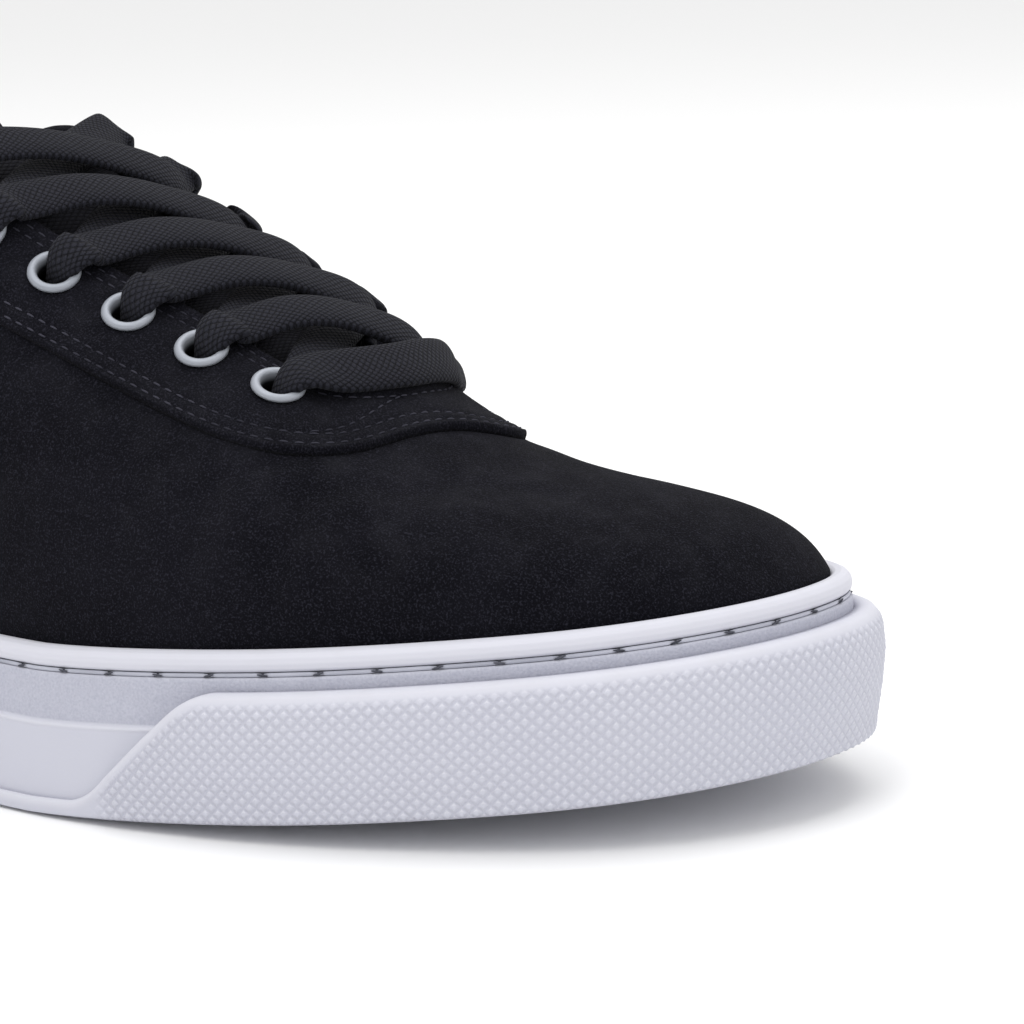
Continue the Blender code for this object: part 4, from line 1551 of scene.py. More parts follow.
@dataclass
class Upper:
    """Suede upper: its outside with soft creases, and the lining inside it."""

    columns: int = 640
    rows: int = 72
    tuck: float = 0.0030
    lining_columns: int = 252
    lining_rows: int = 30
    collar_reach: float = 3.4
    collar_setback: float = 0.0030
    seam_foot: float = 0.03
    seam_top: float = 0.92
    seam_offset: float = 0.10
    stitch_pitch: float = 0.0025
    stitch_length: float = 0.0015
    thread_width: float = 0.00036
    slack: float = 0.00007
    slack_waves: tuple[float, float, float] = (61.0, 53.0, 47.0)
    slack_phase: float = 1.3
    fade: float = 0.12
    crease_height: float = 0.012
    collar_steps: int = 600
    seam_steps: int = 90
    stitch_lift: float = 0.0001
    crease_bow: float = 40.0
    ridge: float = 0.45
    ridge_away: float = 2.1
    yarn_run: float = 0.0028
    lining_run: float = 0.08
    creases: tuple[Crease, ...] = (
        Crease("flex, outer", 7.1, 0.42, 0.016, 0.0030, 0.9, 0.0006),
        Crease("flex, outer, second", 6.4, 0.40, 0.014, 0.0032, 1.1, 0.0005),
        Crease("flex, inner", 14.6, 0.45, 0.015, 0.0030, -0.9, 0.0006),
        Crease("flex, inner, second", 15.3, 0.42, 0.013, 0.0032, -1.1, 0.0004),
        Crease("vamp, outer", 8.6, 0.62, 0.014, 0.0040, 0.2, 0.0005),
        Crease("vamp, inner", 12.9, 0.60, 0.015, 0.0040, -0.2, 0.0004),
        Crease("waist, outer", 4.9, 0.33, 0.018, 0.0050, 0.6, 0.0007),
        Crease("waist, inner", 16.4, 0.33, 0.018, 0.0050, -0.6, 0.0006),
        Crease("heel, outer", 2.3, 0.55, 0.012, 0.0040, 0.3, 0.0004),
        Crease("heel, inner", 18.9, 0.55, 0.012, 0.0040, -0.3, 0.0004),
    )

    def build(self, shop: Workshop, holes: "Eyelets") -> None:
        """Build the suede and the lining, open at the collar and throat.

        Args:
            shop: The workshop.
            holes: The eyelets, whose holes are left open.
        """
        form = shop.form
        places = form.even_places(self.columns)
        rows = [form.ring(places, form.ledge, form.side_height - self.tuck)]
        for share in np.linspace(0, 1, self.rows):
            lift = self._dents(form, places, share)
            rows.append(form.skin(places, share, lift))
        rows.append(form.skin(places, 1.0, -form.upper_wall / 2))
        rows = np.stack(rows)
        mesh = grid_mesh("upper_suede", rows, Solid.BAND, holes=holes.cut(rows))
        shop.add("upper_suede", tidy_mesh(mesh, facing=False, loose=True), SUEDE, Slot.SUEDE, "upper")
        self._stitching(shop)
        self._lining(shop, holes)

    def _stitching(self, shop: Workshop) -> None:
        """A row of stitches below the collar, and two down the seam at the heel.

        Args:
            shop: The workshop.
        """
        form = shop.form
        places = np.linspace(-self.collar_reach, self.collar_reach, self.collar_steps)
        shares = form.share_below_edge(places, self.collar_setback)
        runs = [(places, shares)]
        shares = np.linspace(self.seam_foot, self.seam_top, self.seam_steps)
        runs += [(np.full(self.seam_steps, side * self.seam_offset), shares) for side in (-1, 1)]
        spots = []
        for places, shares in runs:
            track = form.skin(places, shares, self.stitch_lift)
            spots += even_spots(track, form.outward(places, shares), self.stitch_pitch)
        mesh = stitch_mesh("upper_stitching", spots, self.stitch_length, self.thread_width)
        shop.add("upper_stitching", mesh, THREAD, Slot.THREAD)

    def _dents(self, form: ShoeForm, places: Array, share: float) -> Array:
        """Lift of the suede at one level: the creases, and the slack of soft hide.

        Args:
            form: The shoe's form.
            places: Places round the shoe.
            share: Share of the way up the wall.

        Returns:
            A lift for each place.
        """
        here = form.wall(places, share)
        lift = np.zeros(len(places))
        for crease in self.creases:
            middle = form.wall(crease.place, crease.share)[0]
            normal = form.outward(crease.place, crease.share)[0]
            level = unit(np.cross([0, 0, 1], normal))
            upright = np.cross(normal, level)
            run = level * math.cos(crease.turn) + upright * math.sin(crease.turn)
            off = here - middle
            lengthwise = off @ run
            across = off @ np.cross(normal, run) + self.crease_bow * lengthwise ** 2
            shape = bump(lengthwise, crease.length) * bump(off @ normal, self.crease_height)
            beside = np.abs(across) - self.ridge_away * crease.width
            trough = bump(across, crease.width) - self.ridge * bump(beside, crease.width)
            lift -= crease.depth * shape * trough
        wave = here * self.slack_waves
        slack = np.sin(wave[:, 0] + wave[:, 2]) * np.sin(wave[:, 1] + self.slack_phase)
        fade = ease(share / self.fade) * ease((1 - share) / self.fade)
        return (lift + self.slack * slack) * fade

    def _lining(self, shop: Workshop, holes: "Eyelets") -> None:
        """Cloth against the inside of the wall, from the footbed to the opening.

        Args:
            shop: The workshop.
            holes: The eyelets, whose holes are left open.
        """
        form = shop.form
        places = form.even_places(self.lining_columns)
        inset = form.ledge + form.upper_wall
        rows = [form.floor_ring(places, inset, form.clearance)]
        for share in np.linspace(0.0, 1, self.lining_rows):
            rows.append(form.skin(places, share, -form.upper_wall))
        rows.append(form.skin(places, 1.0, -form.upper_wall / 2))
        rows = np.stack(rows)
        across = np.repeat(np.linspace(0, self.lining_run, len(rows)), len(places))
        along = np.tile(np.arange(len(places)) * self.yarn_run, len(rows))
        masks = {"weave": np.column_stack([across, along, across])}
        rows = rows[:, ::-1]
        mesh = grid_mesh("lining_cloth", rows, Solid.BAND, masks, holes=holes.cut(rows))
        shop.add("lining_cloth", tidy_mesh(mesh, facing=False, loose=True), LINING, Slot.LINING)


@dataclass
class Collar:
    """Padded roll inside the opening, from one end of the eyestay round the heel to the other."""

    first: float = -3.72
    last: float = 3.72
    columns: int = 220
    depth: float = 0.030
    padding: float = 0.0048
    roll: float = 0.0020
    section: int = 28
    end_run: float = 0.9
    end_depth: float = 0.35
    end_padding: float = 0.25
    end_roll: float = 0.3
    foot: float = 0.92
    foot_swell: float = 0.12
    swell_reach: float = 1.08
    swell_powers: Span = (0.62, 0.8)
    gap: float = 0.0001
    weave: Span = (0.0019, 0.0016)

    def build(self, shop: Workshop) -> None:
        """Build the roll as one closed pad that hugs the wall.

        Args:
            shop: The workshop.
        """
        form = shop.form
        places = np.linspace(self.first, self.last, self.columns)
        ends = ease((self.last - np.abs(places)) / self.end_run)
        half = self.section // 2
        depth, padding, roll = (
            full * (least + (1 - least) * ends) for full, least in (
                (self.depth, self.end_depth), (self.padding, self.end_padding),
                (self.roll, self.end_roll)))
        rows, hug = [], []
        for step in range(half + 1):
            share = step / half
            down = form.share_below_edge(places, depth * share)
            lift = -form.upper_wall - 2 * self.gap - padding * self._swell(share)
            rows.append(form.skin(places, down, lift))
            hug.insert(0, form.skin(places, down, -form.upper_wall - self.gap))
        tip = form.skin(places, 1.0, -form.upper_wall / 2)
        rise = form.over_edge(places)
        over = form.skin(places, 1.0, 2 * self.gap) + rise * 2 * self.gap
        crest = tip + rise * roll[:, None]
        rows = np.stack(hug[:-1] + [over, crest] + rows, axis=1)
        along = np.repeat(np.arange(self.columns) * self.weave[1], rows.shape[1])
        across = np.tile(np.arange(rows.shape[1]) * self.weave[0], self.columns)
        masks = {"weave": np.column_stack([across, along, across])}
        mesh = grid_mesh("collar_pad", rows, Solid.ROD, masks)
        piece = shop.add("collar_pad", tidy_mesh(mesh), LINING, Slot.LINING)

    def _swell(self, share: float) -> float:
        """How far the padding stands out, by share of the way down, as a share of its most.

        Args:
            share: Share of the way down the padding.

        Returns:
            The share.
        """
        if share >= self.foot:
            return self.foot_swell
        inner, outer = self.swell_powers
        return math.sin(math.pi * min(1.0, share * self.swell_reach) ** inner) ** outer


@dataclass
class Eyelets:
    """Rolled metal eyelets along both sides of the throat."""

    pairs: int = 6
    pitch: float = 0.0156
    setback: float = 0.0080
    first: float = 0.0087
    radius: float = 0.0045
    bore: float = 0.0029
    roll: float = 0.0009
    barrel: float = 0.0004
    cut_radius: float = 0.0037
    seat: float = 0.0018
    foot: float = 0.0004
    lip: float = 0.0001
    sides: int = 48
    cut_depth: float = 0.006
    track_steps: int = 67
    bore_shade_soft: float = 0.0003
    roll_steps: int = 13
    roll_power: float = 0.8
    throat: float = 0.0010
    tracks: tuple[Span, ...] = ((10.4, 3.8), (10.6, 17.2))
    spots: tuple[list, list] = field(init=False)
    centres: Array = field(init=False)
    axes: Array = field(init=False)

    def place(self, form: ShoeForm) -> None:
        """Work out where every eyelet sits, from the front pair up both sides.

        Args:
            form: The shoe's form.
        """
        front = form.rows[:, EDGE_ALONG].max()
        sides = []
        for ends in self.tracks:
            places = np.linspace(*ends, self.track_steps)
            shares = form.share_below_edge(places, self.setback)
            track = form.wall(places, shares)
            run = run_length(track)
            start = run[np.argmax(track[:, 0] < front - self.first)]
            stops = start + self.pitch * np.arange(self.pairs)
            sides.append([(float(np.interp(stop, run, places)), float(np.interp(stop, run, shares)))
                          for stop in stops])
        self.spots = (sides[0], sides[1])
        both = sides[0] + sides[1]
        self.centres = np.array([form.wall(*spot)[0] for spot in both])
        self.axes = np.array([form.outward(*spot)[0] for spot in both])

    def cut(self, rows: Array) -> Array:
        """Faces of a grid that lie within the eyelets' holes.

        Args:
            rows: Points of the grid.

        Returns:
            For each face, by row and column, whether it is left out.
        """
        beside = np.roll(rows, -1, axis=1)
        middle = (rows + np.roll(rows, -1, axis=0) + beside + np.roll(beside, -1, axis=0)) / 4
        away = np.full(rows.shape[:2], False)
        for centre, axis in zip(self.centres, self.axes):
            off = middle - centre
            height = off @ axis
            reach = np.linalg.norm(off - height[..., None] * axis, axis=-1)
            away |= (reach < self.cut_radius) & (np.abs(height) < self.cut_depth)
        return away

    def build(self, shop: Workshop) -> None:
        """Build each eyelet as a turned ring with its barrel.

        Args:
            shop: The workshop.
        """
        for index, (centre, axis) in enumerate(zip(self.centres, self.axes)):
            side, number = divmod(index, self.pairs)
            node = f"eyelet_{('outer', 'inner')[side]}_{number + 1}"
            turn = Vector(axis).to_track_quat("Z", "Y").to_matrix().to_4x4()
            rows = self._ring(shop.form)
            # painted shade: mask of the bore's inside, which the finish darkens
            bore = ease((self.seat - self.lip - rows[..., 2]) / self.bore_shade_soft)
            mesh = grid_mesh(node, rows, Solid.TUBE, {"bore": bore})
            mesh.transform(Matrix.Translation(centre.tolist()) @ turn)
            shop.add(f"{node}_ring", tidy_mesh(mesh), EYELET_METAL, Slot.METAL, node)

    def _ring(self, form: ShoeForm) -> Array:
        """Turned rows of the rolled ring: outer edge, rounded face, bore and barrel.

        Args:
            form: The shoe's form.

        Returns:
            Points as rows by columns by 3.
        """
        middle = (self.radius + self.bore) / 2
        half = (self.radius - self.bore) / 2
        foot = -form.upper_wall - self.foot
        profile = [(self.bore + self.barrel, foot), (self.bore + self.barrel, self.seat)]
        for turn in np.linspace(0, math.pi, self.roll_steps):
            lift = self.roll * abs(math.sin(turn)) ** self.roll_power
            profile.append((middle + half * math.cos(turn), self.seat + self.lip + lift))
        profile += [(self.bore - self.lip, self.seat - self.throat), (self.bore, foot)]
        turns = np.arange(self.sides) * 2 * math.pi / self.sides
        radius, height = (column[:, None] for column in np.array(profile).T)
        return np.stack([radius * np.cos(turns), radius * np.sin(turns),
                         height * np.ones(self.sides)], axis=-1)


class StitchRow(NamedTuple):
    """A row of stitches on the eyestay.

    first and last are places round the shoe. from_first and from_last are the row's distances
    there from the eyestay's outer edge where they are positive, and otherwise from the throat.
    """

    name: str
    first: float
    last: float
    from_first: float
    from_last: float

    def gap(self, places: Array) -> Array:
        """Distance from its edge at each place."""
        share = np.clip((places - self.first) / (self.last - self.first), 0, 1)
        return self.from_first + (self.from_last - self.from_first) * share


@dataclass
class Eyestay:
    """Suede overlay round the throat, with turned edges, stitch channels and stitching."""

    ends: Span = (3.6, 17.4)
    corner: float = 0.75
    corner_width: float = 0.45
    thickness: float = 0.0016
    edge_round: float = 0.0008
    columns: int = 620
    face_rows: int = 40
    channel: float = 0.00022
    channel_width: float = 0.0007
    channel_sink: float = 0.6
    row_margin: float = 0.05
    row_steps: int = 900
    foot_tuck: float = 0.0002
    foot_lift: float = 0.00005
    face_top: float = 0.93
    turn_steps: int = 9
    end_scale: float = 0.035
    turned_up: float = 0.0009
    turned_down: Span = (0.0015, 0.0035)
    rim_levels: tuple[float, ...] = (0.0, 0.004, 0.010, 0.020, 0.034, 0.050)
    stitch_pitch: float = 0.0025
    stitch_length: float = 0.0015
    thread_width: float = 0.00036
    stitching: tuple[StitchRow, ...] = (
        StitchRow("outer edge, first", 3.75, 17.25, 0.0016, 0.0016),
        StitchRow("outer edge, second", 3.85, 17.15, 0.0040, 0.0040),
        StitchRow("throat, first", 3.9, 17.1, -0.0018, -0.0018),
        StitchRow("throat, second, outer", 3.9, 7.6, -0.0040, -0.0040),
        StitchRow("throat, second, inner", 14.0, 17.1, -0.0040, -0.0040),
        StitchRow("front, outer", 7.3, 9.6, 0.0045, 0.0088),
        StitchRow("front, across", 7.6, 13.6, -0.0048, -0.0048),
        StitchRow("front, inner", 12.4, 14.4, 0.0088, 0.0045),
    )

    def width(self, form: ShoeForm, places: Array) -> Array:
        """Width of the eyestay down from the throat's edge, narrowed at its rounded corners.

        Args:
            form: The shoe's form.
            places: Places round the shoe.

        Returns:
            A width for each place.
        """
        first, last = self.ends
        corner = np.clip(np.minimum(places - first, last - places) / self.corner, 0, 1)
        narrow = 1 - (1 - self.corner_width) * (1 - corner) ** 2
        return form.values(places)[:, STAY] * narrow

    def build(self, shop: Workshop, eyelets: Eyelets) -> None:
        """Build the overlay and its stitching.

        Args:
            shop: The workshop.
            eyelets: The eyelets, whose holes are left open.
        """
        form = shop.form
        places = np.linspace(*self.ends, self.columns)
        width = self.width(form, places)
        ends = np.minimum(places - self.ends[0], self.ends[1] - places)
        end_run = np.clip(ends * self.end_scale / self.edge_round, 0, 1)
        full = np.sqrt(1 - (1 - end_run) ** 2)
        foot = form.share_below_edge(places, width - self.foot_tuck)
        rows = [form.skin(places, foot, self.foot_lift)]
        for down in self._levels():
            depth = width * down
            from_outer = width - depth
            rim = np.sqrt(1 - (1 - np.clip(from_outer / self.edge_round, 0, 1)) ** 2)
            rim = np.minimum(rim, full)
            press = np.zeros(len(places))
            for row in self.stitching:
                edge = row.gap(places)
                gap = np.where(edge > 0, from_outer - edge, depth + edge)
                inside = ((places > row.first - self.row_margin)
                          & (places < row.last + self.row_margin))
                press += bump(gap, self.channel_width) * inside
            lift = self.thickness * rim - self.channel * press * rim
            rows.append(form.skin(places, form.share_below_edge(places, depth), lift))
        rows += self._turned_edge(form, places, full)
        rows = np.stack(rows)
        mesh = grid_mesh("eyestay_suede", rows, Solid.SHEET, holes=eyelets.cut(rows)[:, :-1])
        shop.add("eyestay_suede", tidy_mesh(mesh, facing=False, loose=True), SUEDE, Slot.SUEDE,
                 "eyestay")
        self._stitch(shop)

    def _levels(self) -> Array:
        """Levels of the face as shares of its width down from the throat, outer edge first."""
        rim = 1 - np.array(self.rim_levels)
        return np.concatenate([rim, np.linspace(self.face_top, 0, self.face_rows)])

    def _turned_edge(self, form: ShoeForm, places: Array, full: Array) -> list[Array]:
        """Rows that turn over the throat's edge and a little way down inside it.

        Args:
            form: The shoe's form.
            places: Places of the columns.
            full: Share of the full turn at each place, which dies out at both ends.

        Returns:
            The rows.
        """
        rise = form.over_edge(places)
        outside, inside = self.thickness * full, (-form.upper_wall - form.clearance) * full
        middle, half = (outside + inside) / 2, (outside - inside) / 2
        rows = []
        for turn in np.linspace(0, math.pi, self.turn_steps)[1:]:
            lift = middle + half * math.cos(turn)
            over = self.turned_up * math.sin(turn) * full[:, None]
            rows.append(form.skin(places, 1.0, lift) + rise * over)
        for depth in self.turned_down:
            rows.append(form.skin(places, form.share_below_edge(places, depth * full), inside))
        return rows

    def _stitch(self, shop: Workshop) -> None:
        """Rows of short stitches that lie in their channels.

        Args:
            shop: The workshop.
        """
        form = shop.form
        spots = []
        for row in self.stitching:
            places = np.linspace(row.first, row.last, self.row_steps)
            edge = row.gap(places)
            below = np.where(edge > 0, self.width(form, places) - edge, -edge)
            shares = form.share_below_edge(places, below)
            track = form.skin(places, shares, self.thickness - self.channel * self.channel_sink)
            facing = form.outward(places, shares)
            spots += even_spots(track, facing, self.stitch_pitch)
        mesh = stitch_mesh("eyestay_stitching", spots, self.stitch_length, self.thread_width)
        shop.add("eyestay_stitching", mesh, THREAD, Slot.THREAD)


STITCH_STEPS = (-1.0, -0.86, -0.5, 0.0, 0.5, 0.86, 1.0)
STITCH_ROUND = 2.6
STITCH_TIP = 0.02
STITCH_SAG = 0.25
STITCH_FLATNESS = 0.8
STITCH_SIDES = 6


def even_spots(track: Array, facing: Array, pitch: float) -> list[tuple[Array, Array, Array]]:
    """Spots at an even pitch along a track.

    Args:
        track: Points of the track.
        facing: Direction away from the surface at each point.
        pitch: Distance between spots.

    Returns:
        Middle, direction of travel and facing of each spot.
    """
    run = run_length(track)
    heading = unit(np.gradient(track, axis=0))
    stops = np.arange(pitch / 2, run[-1], pitch)
    columns = np.hstack([track, heading, facing])
    rows = np.stack([np.interp(stops, run, column) for column in columns.T], axis=1)
    return [tuple(np.split(row, 3)) for row in rows]


def stitch_mesh(name: str, spots: list[tuple[Array, Array, Array]], length: float,
                width: float) -> Mesh:
    """One mesh with a plump stitch at each spot.

    Args:
        name: Name of the mesh.
        spots: Middle, direction and facing of each stitch.
        length: Length of a stitch.
        width: Width of its thread.

    Returns:
        The mesh.
    """
    steps = np.array(STITCH_STEPS)
    thread = width * np.sqrt(np.maximum(1 - np.abs(steps) ** STITCH_ROUND, STITCH_TIP))
    meshes = []
    for middle, heading, facing in spots:
        sag = np.outer(steps ** 2, facing) * width * STITCH_SAG
        track = middle + np.outer(steps, heading) * length / 2 - sag
        rows = ribbon(track, np.tile(facing, (len(steps), 1)), thread, thread * STITCH_FLATNESS,
                      STITCH_SIDES)
        meshes.append(grid_mesh("stitch", rows, Solid.ROD))
    return tidy_mesh(merged(name, meshes))


class FreeRow(NamedTuple):
    """A section of the tongue above the throat: share of its rise, width and arch."""

    name: str
    rise: float
    width: float
    arch: float


@dataclass
class Tongue:
    """Padded tongue under the eyestay, from below the vamp to above the collar."""

    thickness: float = 0.0050
    crown: float = 0.0030
    tuck: float = 0.0090
    wing: float = 0.0150
    gap: float = 0.0018
    rise: float = 0.0300
    lean: float = 0.87
    outer: Span = (4.0, 9.5)
    inner: Span = (17.0, 11.5)
    root: tuple[float, ...] = (7.7, 8.1, 8.6, 9.3, 10.5, 11.7, 12.5, 13.1, 13.8)
    top: tuple[FreeRow, ...] = (
        FreeRow("above the throat", 0.35, 0.91, 0.88),
        FreeRow("below the top edge", 0.80, 0.88, 0.66),
        FreeRow("top edge", 1.00, 0.80, 0.60),
    )
    across: int = 45
    lengthwise: int = 110
    smoothing: int = 30
    throat_steps: int = 45
    wing_shares: tuple[float, ...] = (1.0, 0.6, 0.25, 0.0)
    throat_rows: int = 9
    crown_run: float = 0.0156
    smooth_rate: float = 0.7
    free_from: float = 0.74
    free_run: float = 0.06
    side_power: int = 7
    tip: float = 0.1
    tip_least: float = 0.02
    seam_width: float = 0.03
    seam_from: float = 0.80
    seam_run: float = 0.04
    seam_inset: float = 0.12
    seam_depth: float = 0.0007
    weave: Span = (0.034, 0.16)

    def _throat_line(self, form: ShoeForm, ends: Span, distance: float) -> Array:
        """Points inside the wall along one side of the throat, a distance below its edge."""
        places = np.linspace(*ends, self.throat_steps)
        shares = form.share_below_edge(places, distance)
        return form.skin(places, shares, -form.upper_wall - self.gap)

    def sections(self, form: ShoeForm) -> list[Array]:
        """Points across the tongue, from its root under the vamp to its top edge.

        Args:
            form: The shoe's form.

        Returns:
            The sections, root first.
        """
        depths = [share * self.wing for share in self.wing_shares]
        outer = [self._throat_line(form, self.outer, depth) for depth in depths]
        inner = [self._throat_line(form, self.inner, depth) for depth in depths[::-1]]
        front = form.rows[:, EDGE_ALONG].max()
        back = float(form.values(np.array([self.outer[0]]))[0, EDGE_ALONG])
        along = front + self.tuck
        lift = -form.upper_wall - 2 * form.clearance
        root = [form.skin(place, form.share_at(place, along), lift)[0] for place in self.root]
        found = [np.array(root)]
        for along in np.linspace(front - 2 * form.clearance, back, self.throat_rows):
            sides = [[[np.interp(along, line[:, 0], line[:, axis]) for axis in range(3)]
                      for line in lines] for lines in (outer, inner)]
            middle = (np.array(sides[0][-1]) + np.array(sides[1][0])) / 2
            middle[2] += self.crown * min(1, (front - along) / self.crown_run)
            found.append(np.array([*sides[0], middle, *sides[1]]))
        base = found[-1]
        centre = (base[0, 1] + base[-1, 1]) / 2
        run = np.array([-math.cos(self.lean), 0, math.sin(self.lean)]) * self.rise
        for row in self.top:
            raised = base + run * row.rise
            raised[:, 1] = centre + (raised[:, 1] - centre) * row.width
            crest = raised[len(raised) // 2, 2]
            raised[:, 2] = crest + (raised[:, 2] - crest) * row.arch
            found.append(raised)
        return found

    def build(self, shop: Workshop) -> None:
        """Build the padded tongue, with a pressed seam line along its sides near the top.

        Args:
            shop: The workshop.
        """
        coarse = np.stack([smooth_track(section, self.across) for section in self.sections(shop.form)])
        flat = coarse.reshape(len(coarse), -1)
        face = smooth_track(flat, self.lengthwise).reshape(self.lengthwise, self.across, 3)
        side = np.linspace(-1, 1, self.across)
        length = np.linspace(0, 1, self.lengthwise)
        free = self.smooth_rate * ease((length - self.free_from) / self.free_run)[:, None, None]
        for _ in range(self.smoothing):
            wide = np.pad(face, ((1, 1), (1, 1), (0, 0)), mode="reflect", reflect_type="odd")
            around = (wide[2:, 1:-1] + wide[:-2, 1:-1] + wide[1:-1, 2:] + wide[1:-1, :-2]) / 4
            face += (around - face) * free
        tangent = np.gradient(face, axis=1)
        run = np.gradient(face, axis=0)
        down = unit(np.cross(tangent, run))
        down *= np.where(down[:, self.across // 2, 2] > 0, -1, 1)[:, None, None]
        for _ in range(self.smoothing):
            wide = np.pad(down, ((1, 1), (1, 1), (0, 0)), mode="edge")
            down = unit(wide[1:-1, 1:-1] * 2 + wide[2:, 1:-1] + wide[:-2, 1:-1]
                        + wide[1:-1, 2:] + wide[1:-1, :-2])
        pad = np.sqrt(np.clip(1 - np.abs(side) ** self.side_power, 0, 1))
        ahead = (1 + (length - 1) / self.tip).clip(0, 1)
        tip = np.sqrt(np.clip(1 - ahead ** 4, self.tip_least, 1))
        depth = self.thickness * pad[None, :] * tip[:, None]
        seam = (bump(1 - np.abs(side) - self.seam_inset, self.seam_width)
                * ease((length - self.seam_from) / self.seam_run)[:, None])
        face = face + down * (self.seam_depth * seam)[..., None]
        under = face + down * depth[..., None]
        rows = np.concatenate([face, under[:, ::-1]], axis=1)
        across = np.tile(np.concatenate([side, side[::-1]]) * self.weave[0], self.lengthwise)
        along = np.repeat(length * self.weave[1], 2 * self.across)
        masks = {"weave": np.column_stack([across, along, across])}
        mesh = grid_mesh("tongue_pad", rows, Solid.ROD, masks)
        piece = shop.add("tongue_pad", tidy_mesh(mesh), TONGUE_CLOTH, Slot.TONGUE, "tongue")


class BarStop(NamedTuple):
    """A stop of the lace bar on the eyestay's front end.

    place is counted round the shoe, below is its distance from the throat's edge, lift how far
    it stands off the eyestay, and tilt how far it leans over towards the toe.
    """

    name: str
    place: float
    below: float
    lift: float
    tilt: float


class EyeStop(NamedTuple):
    """A stop of a lace by an eyelet, from below it upwards.

    height is counted from the upper, or from the ring's top where on_rim is 1, ahead is the way
    on towards the lace's next stop, facing_up and facing_on are the parts of its facing along the
    eyelet's axis and the way on, and narrow its share of the way to the neck's width.
    """

    height: float
    on_rim: int
    ahead: float
    facing_up: float
    facing_on: float
    narrow: float


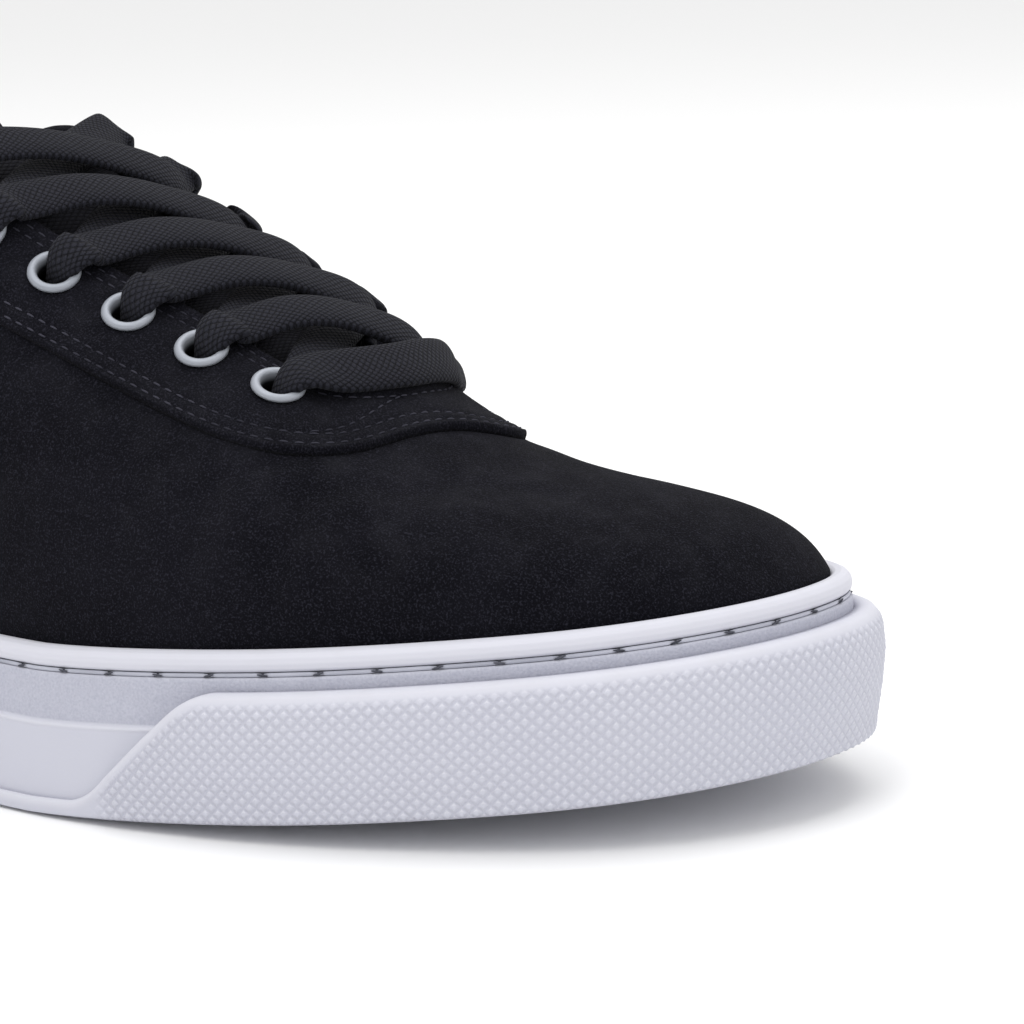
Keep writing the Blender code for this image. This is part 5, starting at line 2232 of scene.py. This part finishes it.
@dataclass
class Laces:
    """Flat woven laces: a bar over the first eyelets, then crossings laced from above."""

    form: ShoeForm
    eyelets: Eyelets
    stay: Eyestay
    width: float = 0.0084
    thickness: float = 0.0027
    neck: float = 0.0050
    lead: float = 0.0022
    far_lead: float = 0.0074
    near_lead: float = 0.0010
    upper_bow: float = 0.0042
    lower_bow: float = 0.0014
    upper_crest: float = 0.0050
    lower_crest: float = 0.0010
    crest_setback: float = 0.0022
    neck_swell: float = 0.2
    square: float = 2.5
    gap: float = 0.0002
    under_gap: float = 0.0006
    bow_shares: Span = (0.33, 0.66)
    bow_facing: float = 0.6
    under: tuple[Span, ...] = ((0.0026, 0.15), (0.0075, 0.40))
    outer_edge: Span = (3.8, 9.6)
    inner_edge: Span = (17.2, 12.2)
    edge_step: float = 0.05
    eye: tuple[EyeStop, ...] = (
        EyeStop(-0.0050, 0, 0.0004, 0, -1, 1.0),
        EyeStop(-0.0008, 0, 0.0008, 0, -1, 1.0),
        EyeStop(-0.0008, 1, 0.0022, 1, -0.7, 0.40),
        EyeStop(0.0002, 1, 0.0052, 1, 0, 0.08),
    )
    slope_lean: tuple[float, float, float] = (0.50, 0.0, 0.87)
    crest_lean: tuple[float, float, float] = (0.72, 0.10, 0.68)
    under_lean: tuple[float, float, float] = (0.38, 0.0, 0.92)
    sides: int = 32
    steps: int = 130
    middle: float = 10.5
    bar: tuple[BarStop, ...] = (
        BarStop("over the outer corner", 8.4, 0.0008, 0.0006, 0.15),
        BarStop("front, outer", 9.9, 0.0000, 0.0008, 0.30),
        BarStop("front, middle", 11.5, 0.0000, 0.0010, 0.45),
        BarStop("front, inner", 12.6, 0.0012, 0.0008, 0.60),
        BarStop("round the inner corner", 13.3, 0.0040, 0.0000, 0.70),
    )

    @property
    def over(self) -> float:
        """Height of the lace's middle above the upper, where it lies on the eyestay."""
        return self.stay.thickness + self.thickness / 2 + self.gap

    def build(self, shop: Workshop) -> None:
        """Build every run of the laces.

        Args:
            shop: The workshop.
        """
        outer, inner = self.eyelets.spots
        self._add(shop, "lace_bar_woven", self._bar(outer[0], inner[0]), "lace_bar")
        for number in range(1, self.eyelets.pairs):
            name = f"lace_crossing_{number}"
            upper = self._crossing(outer[number], inner[number - 1], self.far_lead, True)
            lower = self._crossing(inner[number], outer[number - 1], self.near_lead, False)
            self._add(shop, f"{name}_upper", upper, name)
            self._add(shop, f"{name}_lower", lower)

    def _stop(self, point: Array, facing: Array, narrow: float = 0.0) -> Array:
        """A stop of a lace: point, facing, width and thickness.

        Args:
            point: Middle of the lace.
            facing: Direction that its flat side faces.
            narrow: Share of the way from full width to the neck in an eyelet.

        Returns:
            The stop as a row of numbers.
        """
        width = self.width + (self.neck - self.width) * narrow
        thickness = self.thickness * (1 + self.neck_swell * narrow)
        return np.array([*point, *facing, width, thickness])

    def _through(self, spot: Span, toward: Array) -> list[Array]:
        """Stops from below an eyelet, up through its bore and low over its rim.

        Args:
            spot: Place and share of the eyelet.
            toward: Point that the lace runs on to.

        Returns:
            The stops.
        """
        centre = self.form.wall(*spot)[0]
        normal = self.form.outward(*spot)[0]
        heading = toward - centre
        heading = unit(heading - normal * (heading @ normal))
        rim = self.eyelets.seat + self.eyelets.roll + self.thickness / 2
        stops = []
        for stop in self.eye:
            point = centre + normal * (stop.height + stop.on_rim * rim) + heading * stop.ahead
            facing = unit(normal * stop.facing_up + heading * stop.facing_on)
            stops.append(self._stop(point, facing, stop.narrow))
        return stops

    def _edge_place(self, spot: Span, ahead: float) -> float:
        """Place on the throat's edge that lies a distance ahead of an eyelet.

        Args:
            spot: Place and share of the eyelet.
            ahead: Distance ahead of it.

        Returns:
            The place.
        """
        first, last = self.outer_edge if spot[0] < self.middle else self.inner_edge
        places = np.linspace(first, last, round(abs(last - first) / self.edge_step) + 1)
        along = self.form.wall(places, 1.0)[:, 0]
        return float(np.interp(self.form.wall(*spot)[0, 0] + ahead, along, places))

    def _bar(self, first: Span, last: Span) -> list[Array]:
        """Stops of the bar, which lies along the throat's front edge.

        Args:
            first: Place and share of the first eyelet.
            last: Place and share of the last.

        Returns:
            The stops.
        """
        form = self.form
        stops = []
        for row in self.bar:
            share = form.share_below_edge(row.place, row.below)
            point = form.skin(row.place, share, self.over + row.lift)[0]
            facing = form.outward(row.place, share)[0] + (row.tilt, 0, 0)
            stops.append(self._stop(point, unit(facing)))
        start = self._through(first, stops[0][:3])
        finish = self._through(last, stops[-1][:3])
        return start + stops + finish[::-1]

    def _crossing(self, spot: Span, opposite: Span, lead: float,
                  above: bool) -> list[Array]:
        """Stops from an eyelet over the throat, and in under the edge on the other side.

        Args:
            spot: The eyelet that the lace comes out of.
            opposite: The eyelet on the other side that it goes towards.
            lead: Distance ahead of that eyelet at which it goes under the edge.
            above: Whether it lies on top of the lace that it crosses.

        Returns:
            The stops.
        """
        form = self.form
        start = self._edge_place(spot, self.lead)
        finish = self._edge_place(opposite, lead)
        (near, facing), (far, away) = (
            (form.wall(place, 1.0)[0], form.outward(place, 1.0)[0]) for place in (start, finish))
        near = near + facing * self.over
        across = (far - near) * (1, 1, 0)
        across /= np.linalg.norm(across)
        rise = np.array([0.0, 0.0, 1.0])
        bow = self.upper_bow if above else self.lower_bow
        crest = self.upper_crest if above else self.lower_crest
        top = far - across * self.crest_setback + rise * crest
        lean = np.array(self.slope_lean if above else self.under_lean)
        stops = [self._stop(near, facing)]
        for share in self.bow_shares:
            arch = 4 * share * (1 - share)
            point = near + (top - near) * share + rise * bow * arch
            turned = unit(facing * (1 - share) * self.bow_facing + lean)
            stops.append(self._stop(point, turned))
        stops.append(self._stop(top, unit(np.array(self.crest_lean if above else lean))))
        low = -form.upper_wall - self.thickness / 2 - self.under_gap
        for below, narrow in self.under:
            share = form.share_below_edge(finish, below)
            stops.append(self._stop(form.skin(finish, share, low)[0], away, narrow))
        return self._through(spot, near) + stops

    def _add(self, shop: Workshop, name: str, stops: list[Array], *nodes: str) -> None:
        """Add one run of lace through its stops.

        Args:
            shop: The workshop.
            name: Name of the piece.
            stops: Its stops.
            nodes: Solids that it stands for.
        """
        track = smooth_track(np.array(stops), self.steps)
        points, facing, width, thickness = np.split(track, (3, 6, 7), axis=1)
        rows = ribbon(points, unit(facing), width, thickness, self.sides, self.square)
        turns = np.arange(self.sides) * 2 * math.pi / self.sides
        across = np.cos(turns) * width / 2
        along = np.repeat(run_length(points)[:, None], self.sides, axis=1)
        masks = {"weave": np.stack([across, along, across], axis=-1).reshape(-1, 3)}
        mesh = grid_mesh(name, rows, Solid.ROD, masks)
        shop.add(name, tidy_mesh(mesh), LACE, Slot.LACE, *nodes)


def main() -> None:
    """Build the studio and every piece of the shoe, in order."""
    logging.basicConfig(level=logging.INFO, format="%(name)s: %(message)s")
    form = ShoeForm()
    shop = Workshop(form)
    Studio().build()
    eyelets = Eyelets()
    eyelets.place(form)
    stay = Eyestay()
    CupSole().build(shop)
    Foxing().build(shop)
    Insole().build(shop)
    Upper().build(shop, eyelets)
    Collar().build(shop)
    stay.build(shop, eyelets)
    eyelets.build(shop)
    Tongue().build(shop)
    Laces(form, eyelets, stay).build(shop)


if __name__ == "__main__":
    main()
